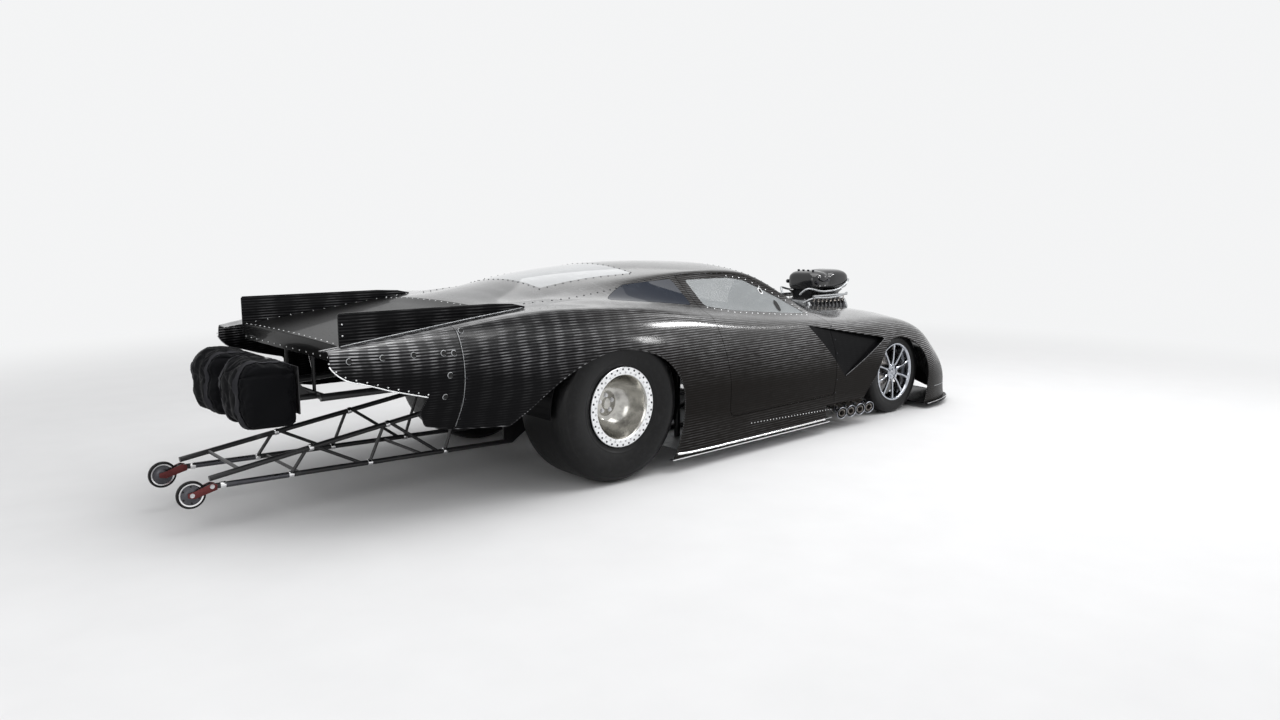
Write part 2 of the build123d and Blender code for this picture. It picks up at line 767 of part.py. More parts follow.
def header_set(side):
    """Four primary pipes from the head flange to the row of outlets behind the front wheel."""
    with BuildPart() as headers:
        for port, outlet in zip(port_x, outlet_x):
            route = [(port, flange_face, port_z), (port - 30, 420, 540), (outlet + 120, 480, 205),
                     (outlet, outlet_y, outlet_z)]
            route = [(rear_axle_x + x, side * y, z) for x, y, z in route]
            with BuildLine() as path:
                FilletPolyline(*route, radius=header_bends)
            with BuildSketch(Plane(origin=path.line @ 0, z_dir=path.line % 0)):
                Circle(header_tube)
            sweep(path=path.line)
            with BuildSketch(Plane(origin=path.line @ 1, z_dir=path.line % 1)):
                Circle(header_bore)
            extrude(amount=-header_bore_depth, mode=Mode.SUBTRACT)
        flange_span = sorted((side * (flange_face - flange_thick), side * flange_face))
        add(block((port_x[0] - 50, port_x[-1] + 50), flange_span, (port_z - flange_half, port_z + flange_half)))
    return headers


header_sets = {"left": header_set(1), "right": header_set(-1)}

gearbox_rear = 1640
gearbox_length = 560
bell_start = 2360
bell_radius = 225
with BuildPart() as transmission:
    with BuildSketch(across(gearbox_rear)):
        with Locations((0, gearbox_z)):
            RectangleRounded(260, 250, 40)
    extrude(amount=gearbox_length)
    with BuildSketch(across(gearbox_rear + gearbox_length)):
        with Locations((0, gearbox_z)):
            Circle(150)
    with BuildSketch(across(bell_start)):
        with Locations((0, crank_z)):
            Circle(bell_radius)
    loft()
    with BuildSketch(across(bell_start)):
        with Locations((0, crank_z)):
            Circle(bell_radius)
    extrude(amount=engine_rear - plate_thick - 2 * panel_gap - bell_start)

axle_tube_radius = 44
diff_radius = 120
diff_rear = -150
diff_length = 290
pinion_radius = 60
pinion_end = 180
bracket_middle = 299
bracket_thick = 14
shaft_radius = 44
with BuildPart() as drive_shaft:
    add(round_bar((pinion_end - 4, 0, rear_axle_z - 10), (gearbox_rear + 4, 0, crank_z), shaft_radius))
    add(transmission.part, mode=Mode.SUBTRACT)
    add(block((0, pinion_end + seat_gap), (-far, far), (0, 900)), mode=Mode.SUBTRACT)


# Rear axle and its suspension
with BuildPart() as rear_axle:
    add(round_bar((0, -470, rear_axle_z), (0, 470, rear_axle_z), axle_tube_radius))
    add(round_bar((0, -600, rear_axle_z), (0, 600, rear_axle_z), axle_stub_radius))
    with BuildSketch(across(diff_rear)):
        with Locations((0, rear_axle_z)):
            Circle(diff_radius)
    extrude(amount=diff_length)
    add(round_bar((130, 0, rear_axle_z), (pinion_end, 0, rear_axle_z), pinion_radius))
    for side in (1, -1):
        widths = sorted((side * (bracket_middle - bracket_thick / 2), side * (bracket_middle + bracket_thick / 2)))
        add(block((-90, 60), widths, (rear_axle_z - 120, rear_axle_z + 130)))

link_bars = [
    (link_tube, 0, (60 + seat_gap, bracket_middle, 350), (560, bracket_middle, 130)),
    (link_tube, 0, (60 + seat_gap, bracket_middle, 550), (360, bracket_middle, 566)),
    (30, 0, (0, 342, rear_axle_z), (-300, 342, 917)),
]
with BuildPart() as rear_suspension:
    add(both_sides(link_bars))
    add(chassis_frame.part, mode=Mode.SUBTRACT)
    add(roll_cage.part, mode=Mode.SUBTRACT)
    add(rear_axle.part, mode=Mode.SUBTRACT)

# Front suspension and steering
knuckle_low = 206
knuckle_high = 455
strut_top = 670
strut_radius = 22
spring_radius = 40
rack_half = 210
rack_tube = 20
arm_bars = [
    (link_tube, 0, (2740, front_rail_y, 138), (wheelbase, kingpin_y, 188)),
    (link_tube, 0, (3100, front_rail_y, 138), (wheelbase, kingpin_y, 188)),
    (strut_radius, 0, (wheelbase, kingpin_y, 172), (wheelbase, kingpin_y, knuckle_low - seat_gap)),
    (strut_radius, 0, (wheelbase, kingpin_y, knuckle_high + seat_gap), (wheelbase, kingpin_y, strut_top)),
    (spring_radius, 0, (wheelbase, kingpin_y, 505), (wheelbase, kingpin_y, strut_top - 20)),
]
with BuildPart() as front_suspension:
    add(both_sides(arm_bars))
    for side in (1, -1):
        add(block((wheelbase - 32, wheelbase + 32), sorted((side * 525, side * 680)),
                  (strut_top - 6, strut_top + 6)))
        add(block((rack_x - 15, rack_x + 15), sorted((side * 130, side * 150)), (rail_z, rack_z)))
    add(round_bar((rack_x, -rack_half, rack_z), (rack_x, rack_half, rack_z), rack_tube))
    add(round_bar((rack_x, -rack_half - 20, rack_z), (rack_x, rack_half + 20, rack_z), rack_bar + run_fit),
        mode=Mode.SUBTRACT)
    add(chassis_frame.part, mode=Mode.SUBTRACT)

tie_end_y = 600
tie_end_radius = 14
tie_end_half = 12
tie_end_gap = 6
steering_arm_z = 232
steering_arm_radius = 9
arm_boss_radius = 13
with BuildPart() as tie_rods:
    add(round_bar((rack_x, -tie_end_y, rack_z), (rack_x, tie_end_y, rack_z), rack_bar))
    for side in (1, -1):
        add(round_bar((rack_x, side * tie_end_y, rack_z - tie_end_half),
                      (rack_x, side * tie_end_y, rack_z + tie_end_half), tie_end_radius))


def knuckle(side):
    """Upright with spindle, steering arm and brake caliper."""
    y = side * kingpin_y
    with BuildPart() as upright:
        add(side_prism([(wheelbase - 26, knuckle_low), (wheelbase + 26, knuckle_low), (wheelbase + 36, 300),
                        (wheelbase + 36, 354), (wheelbase + 24, knuckle_high), (wheelbase - 24, knuckle_high),
                        (wheelbase - 36, 354), (wheelbase - 36, 300)], y + side * 22, y - side * 22))
        add(round_bar((wheelbase, y, front_axle_z), (wheelbase, side * 742, front_axle_z), spindle_radius))
        add(round_bar((wheelbase - 20, y, steering_arm_z), (rack_x, side * tie_end_y, steering_arm_z),
                      steering_arm_radius))
        add(round_bar((rack_x, side * tie_end_y, steering_arm_z - 12),
                      (rack_x, side * tie_end_y, rack_z - tie_end_half - tie_end_gap), arm_boss_radius))
        add(block((wheelbase + 30, wheelbase + 150), sorted((side * 645, side * 664)), (300, 354)))
        add(block((wheelbase + 96, wheelbase + 150), sorted((side * 645, side * 704)), (292, 362)))
        add(block((wheelbase + 60, wheelbase + 141), sorted((side * 665, side * 689)), (280, 370)),
            mode=Mode.SUBTRACT)
    return upright


knuckles = {"left": knuckle(1), "right": knuckle(-1)}

# Wheels and tyres; profiles are radius and distance from the middle of the car
rear_rim_profile = [(0, 778), (62, 778), (84, 772), (120, 796), (155, 836), (178, 890), (186, 934), (232, 934),
                    (232, 919), (222, 915), (222, 540), (232, 536), (232, 528), (216, 528), (216, 906),
                    (192, 906), (186, 886), (160, 826), (122, 784), (84, 758), (70, 740), (70, 540),
                    (axle_stub_radius + run_fit, 540), (axle_stub_radius + run_fit, 606), (0, 606)]
front_rim_ring = [(226, 701), (226, 706), (216, 707), (216, 807), (226, 808), (226, 813), (208, 813), (208, 701)]
front_hub_profile = [(0, 800), (30, 800), (34, 790), (60, 786), (60, 766), (48, 760), (48, 668),
                     (spindle_radius + run_fit, 668), (spindle_radius + run_fit, 745), (0, 745)]
brake_disc_profile = [(48 + seat_gap, 672), (136, 672), (136, 682), (48 + seat_gap, 682)]
bar_wheel_rows = [(bar_pin_radius + run_fit, -12.5), (24, -12.5), (28, -8), (56, -8),
                  (62, -bar_wheel_width / 2), (bar_wheel_radius, -6), (bar_wheel_radius, 6),
                  (62, bar_wheel_width / 2), (56, 8), (28, 8), (24, 12.5), (bar_pin_radius + run_fit, 12.5)]
bar_wheel_profile = [(r, bar_wheel_y + width) for r, width in bar_wheel_rows]


def tyre(side, centre, bead, radius, middle, width, bead_half):
    """Tyre with rounded sidewalls; bead is the inner radius, middle the width of its centre plane."""
    x, z = centre
    half = width / 2
    wall = radius - bead
    with BuildPart() as ring:
        with BuildSketch(Plane(origin=(rear_axle_x + x, 0, z), x_dir=(0, 0, 1), z_dir=(-1, 0, 0))):
            for way in (1, -1):
                edge = [(bead, way * bead_half), (bead + 12, way * (bead_half + 2)),
                        (bead + 0.6 * wall, way * half), (radius - 0.16 * wall, way * (half - 0.14 * wall)),
                        (radius, way * (half - 0.3 * wall))]
                shift = [(r, side * (middle + y)) for r, y in edge]
                with BuildLine():
                    Line((bead, side * middle), shift[0])
                    Line(shift[0], shift[1])
                    ThreePointArc(shift[1], shift[2], shift[3])
                    Line(shift[3], shift[4])
                    Polyline(shift[4], (radius, side * middle), (bead, side * middle))
                make_face()
        revolve(axis=Axis((rear_axle_x + x, 0, z), (0, 1, 0)))
    return ring


spoke_count = 10
spoke_middle = 130
spoke_length = 162
spoke_width = 15
spoke_depth = 20
spoke_face = 770


def spoked_rim(side):
    """Front wheel with a narrow barrel, a hub and a ring of slim spokes."""
    with BuildPart() as rim:
        add(turned(front_rim_ring, (wheelbase, front_axle_z), side))
        add(turned(front_hub_profile, (wheelbase, front_axle_z), side))
        face = Plane(origin=(rear_axle_x + wheelbase, side * spoke_face, front_axle_z), x_dir=(1, 0, 0),
                     z_dir=(0, side, 0))
        with BuildSketch(face):
            with PolarLocations(0, spoke_count):
                with Locations((spoke_middle, 0)):
                    Rectangle(spoke_length, spoke_width)
        extrude(amount=spoke_depth)
    return rim


wheels = {}
for name, side in (("left", 1), ("right", -1)):
    rear_centre = (0, rear_axle_z)
    front_centre = (wheelbase, front_axle_z)
    wheels["rear_tyre_" + name] = tyre(side, rear_centre, rear_rim_radius + seat_gap, rear_tyre_radius,
                                       rear_wheel_y - 5, rear_tyre_width, 187)
    wheels["rear_rim_" + name] = turned(rear_rim_profile, rear_centre, side)
    wheels["front_tyre_" + name] = tyre(side, front_centre, 216 + seat_gap, front_tyre_radius, front_wheel_y,
                                        front_tyre_width, 49)
    wheels["front_rim_" + name] = spoked_rim(side)
    wheels["front_disc_" + name] = turned(brake_disc_profile, front_centre, side)
    wheels["bar_wheel_" + name] = turned(bar_wheel_profile, (bar_wheel_x, bar_wheel_z), side)

# Wheelie bars
fork_inner = 13
fork_thick = 5
bar_pin_half = 22
bar_bracket_thick = 12
ladder_bars = [
    (bar_tube, 0, (-2045, bar_wheel_y, 262), (-330, bar_wheel_y, 512)),
    (bar_tube, 0, (-2060, bar_wheel_y, 222), (-330, bar_wheel_y, 178)),
    (brace_tube, 0, (-1650, bar_wheel_y, 212), (-1560, bar_wheel_y, 333)),
    (brace_tube, 0, (-1220, bar_wheel_y, 201), (-1130, bar_wheel_y, 395)),
    (brace_tube, 0, (-760, bar_wheel_y, 189), (-660, bar_wheel_y, 464)),
    (brace_tube, 0, (-1520, bar_wheel_y, 338), (-1260, bar_wheel_y, 202)),
    (brace_tube, 0, (-1090, bar_wheel_y, 401), (-800, bar_wheel_y, 190)),
]
ladder_cross = [
    (brace_tube, 0, (-1900, bar_wheel_y, 283), (-1900, -bar_wheel_y, 283)),
    (brace_tube, 0, (-1600, bar_wheel_y, 210), (-1600, -bar_wheel_y, 210)),
    (brace_tube, 0, (-900, bar_wheel_y, 193), (-900, -bar_wheel_y, 193)),
    (brace_tube, 0, (-560, bar_wheel_y, 479), (-560, -bar_wheel_y, 479)),
]
fork_outline = [(-2150, 188), (-2150, 208), (-2120, 214), (-2040, 240), (-2020, 232), (-2020, 208), (-2120, 182)]
with BuildPart() as wheelie_bars:
    add(both_sides(ladder_bars))
    add(all_bars(ladder_cross))
    for side in (1, -1):
        for way in (1, -1):
            add(side_prism(fork_outline, side * (bar_wheel_y + way * fork_inner),
                           side * (bar_wheel_y + way * (fork_inner + fork_thick))))
        add(round_bar((bar_wheel_x, side * (bar_wheel_y - bar_pin_half), bar_wheel_z),
                      (bar_wheel_x, side * (bar_wheel_y + bar_pin_half), bar_wheel_z), bar_pin_radius))
        add(side_prism([(-360, 165), (-300, 165), (-40, 330), (-40, 560), (-300, 528), (-360, 528)],
                       side * 234, side * (234 + bar_bracket_thick)))
    add(rear_axle.part, mode=Mode.SUBTRACT)

# Parachutes at the tail
pack_back = -1935
pack_front = -1640
pack_inner = 62
pack_outer = 392
pack_top = 838
packs = {}
for name, side in (("left", 1), ("right", -1)):
    with BuildPart() as pack:
        add(side_prism([(pack_back + 30, 505), (pack_front - 10, 498), (pack_front, 540), (pack_front, 790),
                        (pack_front - 40, 815), (pack_back + 70, pack_top), (pack_back, 760), (pack_back, 600)],
                       side * pack_inner, side * pack_outer))
        fillet(pack.edges().filter_by(Axis.Y), 12)
    packs[name] = pack

mount_arm_y = 230
mount_arm_z = 601
mount_arm_radius = 16
mount_plate_thick = 6
post_y = 180
post_radius = 9
post_top = 893
with BuildPart() as chute_mounts:
    for side in (1, -1):
        add(block((pack_front + seat_gap, pack_front + seat_gap + mount_plate_thick), sorted((side * 80, side * 375)),
                  (545, 785)))
        arm_y = side * mount_arm_y
        add(round_bar((pack_front + 5, arm_y, mount_arm_z), (rear_cross_x, arm_y, mount_arm_z), mount_arm_radius))
        add(side_prism([(pack_front + 4, 605), (pack_front + 4, 750), (-1520, 605)], side * (mount_arm_y - 4),
                       side * (mount_arm_y + 4)))
        add(round_bar((rear_cross_x, side * post_y, mount_arm_z),
                      (rear_cross_x, side * post_y, post_top), post_radius))
    with BuildSketch(plan_plane(tow_eye_z - tow_plate_thick / 2)):
        with BuildLine():
            Polyline((rear_cross_x, -22), (tow_eye_x, -28), (-1556, -16), (-1556, 16), (tow_eye_x, 28),
                     (rear_cross_x, 22), close=True)
        make_face()
        with Locations((tow_eye_x, 0)):
            Circle(tow_eye_radius, mode=Mode.SUBTRACT)
    extrude(amount=tow_plate_thick)
    add(chassis_frame.part, mode=Mode.SUBTRACT)
    add(deck_panel.part, mode=Mode.SUBTRACT)

pieces = {
    "front_clip": front_clip,
    "center_body": center_body,
    "tail_section": tail_section,
    "deck_panel": deck_panel,
    "spoiler_fences": spoiler_fences,
    "front_splitter": front_splitter,
    "rocker_strips": rocker_strips,
    "windshield": windshield,
    "rear_glass": rear_glass,
    "door_left": doors["left"],
    "door_right": doors["right"],
    "door_glass_left": door_glasses["left"],
    "door_glass_right": door_glasses["right"],
    "floor_pan": floor_pan,
    "rear_tubs": rear_tubs,
    "bulkheads": bulkheads,
    "dashboard": dashboard,
    "chassis_frame": chassis_frame,
    "roll_cage": roll_cage,
    "driver_seat": driver_seat,
    "steering_wheel": steering_wheel,
    "engine_block": engine_block,
    "supercharger": supercharger,
    "injector_hat": injector_hat,
    "blower_drive": blower_drive,
    "headers_left": header_sets["left"],
    "headers_right": header_sets["right"],
    "transmission": transmission,
    "drive_shaft": drive_shaft,
    "rear_axle": rear_axle,
    "rear_suspension": rear_suspension,
    "front_suspension": front_suspension,
    "tie_rods": tie_rods,
    "knuckle_left": knuckles["left"],
    "knuckle_right": knuckles["right"],
    "wheelie_bars": wheelie_bars,
    "chute_mounts": chute_mounts,
    "chute_pack_left": packs["left"],
    "chute_pack_right": packs["right"],
}
pieces.update(wheels)
for name, piece in pieces.items():
    piece.part.label = name
    export_step(piece.part, "parts/" + name + ".step")
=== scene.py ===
import math

import bmesh
import bpy
import numpy as np
from bpy.props import FloatProperty, FloatVectorProperty, IntProperty, PointerProperty
from mathutils import Matrix, Vector
from mathutils.bvhtree import BVHTree


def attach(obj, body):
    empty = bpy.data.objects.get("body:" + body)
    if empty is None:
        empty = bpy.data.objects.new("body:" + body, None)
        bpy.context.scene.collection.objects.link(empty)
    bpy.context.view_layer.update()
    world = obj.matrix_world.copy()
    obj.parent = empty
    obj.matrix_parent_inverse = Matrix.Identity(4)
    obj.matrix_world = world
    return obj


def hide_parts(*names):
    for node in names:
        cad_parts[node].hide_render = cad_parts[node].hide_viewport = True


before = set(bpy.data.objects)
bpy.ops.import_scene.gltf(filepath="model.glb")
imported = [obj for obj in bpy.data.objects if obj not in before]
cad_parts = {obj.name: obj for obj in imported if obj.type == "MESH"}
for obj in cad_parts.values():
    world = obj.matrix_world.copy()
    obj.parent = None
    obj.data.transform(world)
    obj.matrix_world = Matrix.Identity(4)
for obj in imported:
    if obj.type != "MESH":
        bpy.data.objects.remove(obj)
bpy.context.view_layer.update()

bl_info = {
    "name": "Drag racing coupe",
    "version": (1, 0, 0),
    "blender": (4, 5, 0),
    "location": "3D View > Sidebar > Drag Coupe",
    "description": "Dresses the drag racing coupe: carbon body, glass, wheels, engine, cabin and parachutes",
    "category": "Object",
}

# Driving sizes, in metres; tables are in millimetres unless their heading says metres, and lengths along the
# car are counted from the rear axle in both
MM = 0.001
REAR_AXLE = Vector((-0.852, 0.0, 0.448))
FRONT_AXLE = Vector((2.069, 0.0, 0.327))
PANEL_STEP = 0.015
PANEL_WALL = 0.005
SEAM = 0.002
DOOR_WALL = 0.036
ROW_PITCH = 0.0155
TWILL_PITCH = 0.0042
MOULD_PITCH = 0.006
PILLAR_FOOT, PILLAR_HEAD = 0.90, 0.98
WEAVE_SHIFT = (3.7, 5.3, 1.9)
LOOSE_FACING = 0.2
DOUBLED = 0.00005

# x, bottom w z, rocker crease w z, widest w z, shoulder w z, belt w z, middle z
BODY_SECTIONS = [
    (-1645, 600, 430, 690, 540, 785, 760, 772, 903, 665, 893, 903),
    (-1050, 830, 430, 885, 520, 968, 740, 880, 990, 668, 965, 975),
    (-500, 920, 230, 940, 420, 990, 700, 890, 1035, 668, 1025, 1037),
    (0, 960, 112, 965, 390, 1000, 650, 885, 1000, 752, 1042, 1052),
    (500, 985, 90, 972, 350, 985, 610, 872, 945, 752, 993, 1005),
    (1100, 958, 90, 946, 320, 957, 590, 855, 862, 745, 915, 927),
    (1600, 940, 92, 930, 300, 941, 560, 850, 818, 735, 859, 875),
    (2000, 925, 95, 915, 290, 930, 540, 852, 792, 700, 834, 862),
    (2450, 905, 95, 903, 280, 922, 520, 838, 770, 560, 815, 838),
    (2921, 895, 70, 902, 260, 915, 480, 812, 745, 520, 785, 805),
    (3300, 893, 50, 893, 200, 892, 390, 785, 638, 500, 692, 712),
    (3600, 830, 50, 822, 160, 808, 310, 695, 478, 450, 535, 556),
    (3800, 690, 50, 678, 125, 655, 225, 560, 330, 370, 372, 392),
    (3880, 560, 50, 545, 98, 520, 155, 440, 215, 300, 240, 256),
]
# x, base w z, gutter w z, middle z; the outer rows let the roof sink into the body
ROOF_SECTIONS = [
    (-900, 560, 900, 440, 915, 925),
    (-640, 600, 1000, 470, 1022, 1034),
    (-430, 690, 1030, 500, 1034, 1088),
    (0, 752, 1035, 505, 1108, 1168),
    (450, 752, 995, 512, 1150, 1214),
    (860, 750, 940, 520, 1168, 1226),
    (1250, 742, 892, 522, 1164, 1214),
    (1500, 738, 865, 530, 1128, 1190),
    (1750, 724, 845, 600, 1000, 1120),
    (2000, 702, 825, 690, 838, 1020),
    (2250, 560, 815, 540, 826, 910),
    (2400, 380, 810, 360, 820, 845),
    (2600, 300, 740, 280, 750, 760),
]
SIDE_OUTLINES = {
    "door": [(873, 276), (873, 300), (860, 510), (806, 925), (775, 1150), (1250, 1148), (1440, 1122),
             (1750, 983), (1985, 838), (1997, 800), (1997, 276)],
    "door_window": [(862, 962), (838, 1124), (1245, 1122), (1400, 1098), (1700, 962), (1912, 846),
                    (1600, 872), (1105, 920)],
    "quarter_window": [(60, 1046), (310, 1114), (725, 1134), (745, 975), (420, 1012)],
}
PLAN_OUTLINES = {
    "windshield": [(1475, -462), (1500, 0), (1475, 462), (1975, 632), (2235, 345), (2340, 0), (2235, -345),
                   (1975, -632)],
    "rear_window": [(-170, -372), (-170, 372), (500, 430), (500, -430)],
    "cowl": [(1997, 706), (2200, 480), (2330, 300), (2400, 120), (2400, -120), (2330, -300), (2200, -480),
             (1997, -706), (1900, -706), (1900, 706)],
}
REAR_SEAM = -1.050
NOSE_SEAM = 2.000
DECK_FRONT = -0.640
DECK_REAR = -1.545
DECK_SIDE = 654
DECK_HALF = DECK_SIDE * MM
DECK_UNDER = 0.8
DOOR_INNER = 0.35
REAR_WINDOW_HALF = 0.46
VENT_DEPTH = 0.045
SIDES = (("left", 1), ("right", -1))
SIGNS = (1, -1)
ORIGIN = (0, 0, 0)


def from_axle(points):
    """Table rows in millimetres from the rear axle, as metres in the car's frame."""
    rows = np.array(points, float) * MM
    rows[:, 0] += REAR_AXLE.x
    return rows


def car_x(x):
    """A length from the rear axle in metres, as a place in the car's frame."""
    return x + REAR_AXLE.x


# Settings that the panel shows


class BodySizes(bpy.types.PropertyGroup):
    """Sizes of the carbon panels."""
    lip: FloatProperty(name="Lip", description="Radius of the light bead along cut panel edges",
                       default=0.0035, unit="LENGTH")
    rivet: FloatProperty(name="Rivet", description="Radius of a body rivet", default=0.005, unit="LENGTH")
    pitch: FloatProperty(name="Rivet pitch", description="Distance between body rivets", default=0.055,
                         unit="LENGTH")
    fastener: FloatProperty(name="Fastener", description="Radius of a quarter-turn fastener", default=0.011,
                            unit="LENGTH")


class WheelSizes(bpy.types.PropertyGroup):
    """Sizes of the wheels' small parts."""
    ring_bolts: IntProperty(name="Ring bolts", description="Bolts round the rear wheel's clamping ring",
                            default=32, min=8, max=48)
    spokes: IntProperty(name="Spokes", description="Spokes of a front wheel", default=10, min=5, max=20)
    studs: IntProperty(name="Studs", description="Wheel studs on each hub", default=5, min=4, max=8)


class CarColours(bpy.types.PropertyGroup):
    """Colours of the car's finishes."""
    carbon_dark: FloatVectorProperty(name="Carbon shade", description="Darkest tow of the bare carbon",
                                     default=(0.003, 0.003, 0.0035), subtype="COLOR", min=0, max=1)
    carbon_brown: FloatVectorProperty(name="Carbon shade, doors", description="Darkest tow round the doors",
                                      default=(0.0075, 0.0062, 0.0052), subtype="COLOR", min=0, max=1)
    # Painted sheen: the pale colour the carbon's tows take where they would reflect light
    painted_tow_sheen: FloatVectorProperty(name="Carbon sheen", description="Brightest tow of the bare carbon",
                                      default=(0.36, 0.36, 0.37), subtype="COLOR", min=0, max=1)
    rubber: FloatVectorProperty(name="Rubber", description="Tyre rubber", default=(0.003, 0.003, 0.0033),
                                subtype="COLOR", min=0, max=1)
    fabric: FloatVectorProperty(name="Pack fabric", description="Parachute pack cloth",
                                default=(0.0012, 0.0013, 0.0018), subtype="COLOR", min=0, max=1)


class StageSettings(bpy.types.PropertyGroup):
    """Camera, lamps and floor."""
    lens: FloatProperty(name="Lens", description="Focal length on a 36 mm sensor", default=26.2, min=10, max=200)
    key: FloatProperty(name="Key lamp", description="Power of the large overhead lamp", default=420.0, min=0,
                       unit="POWER")
    sky: FloatProperty(name="Surround", description="Strength of the even surround", default=0.62, min=0)


# Shader graphs


class Signal:
    """A shader socket that takes part in sums and products."""

    def __init__(self, graph, socket):
        self.graph = graph
        self.socket = socket

    def _math(self, operation, first, second):
        return self.graph.node("ShaderNodeMath", {"operation": operation}, {0: first, 1: second})

    def __add__(self, other):
        return self._math("ADD", self, other)

    __radd__ = __add__

    def __sub__(self, other):
        return self._math("SUBTRACT", self, other)

    def __rsub__(self, other):
        return self._math("SUBTRACT", other, self)

    def __mul__(self, other):
        return self._math("MULTIPLY", self, other)

    def __pow__(self, other):
        return self._math("POWER", self, other)

    def sine(self):
        return self._math("SINE", self, 0.0)

    def at_most(self, other):
        return self._math("MINIMUM", self, other)

    def at_least(self, other):
        return self._math("MAXIMUM", self, other)


class Graph:
    """The node graph of a material or, with kind, of a world; it has one shader at its end."""

    def __init__(self, name, woven=False, kind="materials"):
        self.woven = woven
        self.material = getattr(bpy.data, kind).new(name)
        self.material.use_nodes = True
        self.tree = self.material.node_tree
        self.shader = next(n for n in self.tree.nodes if n.type in ("BSDF_PRINCIPLED", "BACKGROUND"))

    def _set(self, socket, value):
        if isinstance(value, Signal):
            self.tree.links.new(value.socket, socket)
        elif hasattr(value, "__len__") and socket.type == "RGBA":
            socket.default_value = (*value[:3], 1.0)
        else:
            socket.default_value = value

    def node(self, kind, settings=None, inputs=None, output=0):
        node = self.tree.nodes.new(kind)
        for name, value in (settings or {}).items():
            setattr(node, name, value)
        for key, value in (inputs or {}).items():
            if isinstance(key, str):
                socket = next(s for s in node.inputs if key in (s.identifier, s.name) and s.enabled)
            else:
                socket = node.inputs[key]
            self._set(socket, value)
        sockets = [s for s in node.outputs if s.enabled]
        return Signal(self, sockets[output] if isinstance(output, int) else node.outputs[output])

    def place(self, scale=(1, 1, 1)):
        """The point on the object, stretched."""
        point = self.node("ShaderNodeTexCoord", output="Object")
        return self.node("ShaderNodeMapping", {}, {"Vector": point, "Scale": scale})

    def weave(self):
        """What the mesh keeps of its place on the body: two lengths and how far it looks up."""
        return self.node("ShaderNodeAttribute", {"attribute_name": "weave"}, output="Vector")

    def along(self, scale=(1, 1, 1)):
        """The lengths along a woven panel, stretched; on other pieces the point itself."""
        if not self.woven:
            return self.place((scale[0], scale[1], scale[1]))
        return self.node("ShaderNodeMapping", {}, {"Vector": self.weave(), "Scale": scale, "Location": WEAVE_SHIFT})

    def facing(self):
        """How far the panel looks up, kept as the third number of its weave."""
        return self.split(self.weave())[2]

    def split(self, vector):
        node = self.tree.nodes.new("ShaderNodeSeparateXYZ")
        self.tree.links.new(vector.socket, node.inputs[0])
        return [Signal(self, s) for s in node.outputs]

    def seen(self):
        """One for rays that reach the camera straight or by way of a mirror or glass, else nothing."""
        camera, glossy, through = [self.node("ShaderNodeLightPath", output="Is %s Ray" % kind)
                                   for kind in ("Camera", "Glossy", "Transmission")]
        return camera.at_least(glossy).at_least(through)

    def noise(self, vector, detail=2.0, rough=0.5):
        return self.node("ShaderNodeTexNoise", {}, {"Vector": vector, "Scale": 1.0, "Detail": detail,
                                                    "Roughness": rough})

    def remap(self, value, low, high, out_low=0.0, out_high=1.0):
        return self.node("ShaderNodeMapRange", {"interpolation_type": "SMOOTHSTEP"},
                         {"Value": value, "From Min": low, "From Max": high, "To Min": out_low,
                          "To Max": out_high})

    def mix(self, factor, first, second):
        return self.node("ShaderNodeMix", {"data_type": "RGBA"},
                         {"Factor_Float": factor, "A_Color": first, "B_Color": second})

    def bump(self, height, strength, distance):
        return self.node("ShaderNodeBump", {}, {"Height": height, "Strength": strength, "Distance": distance})

    def finish(self, **sockets):
        for name, value in sockets.items():
            self._set(self.shader.inputs[name.replace("_", " ")], value)
        return self.material


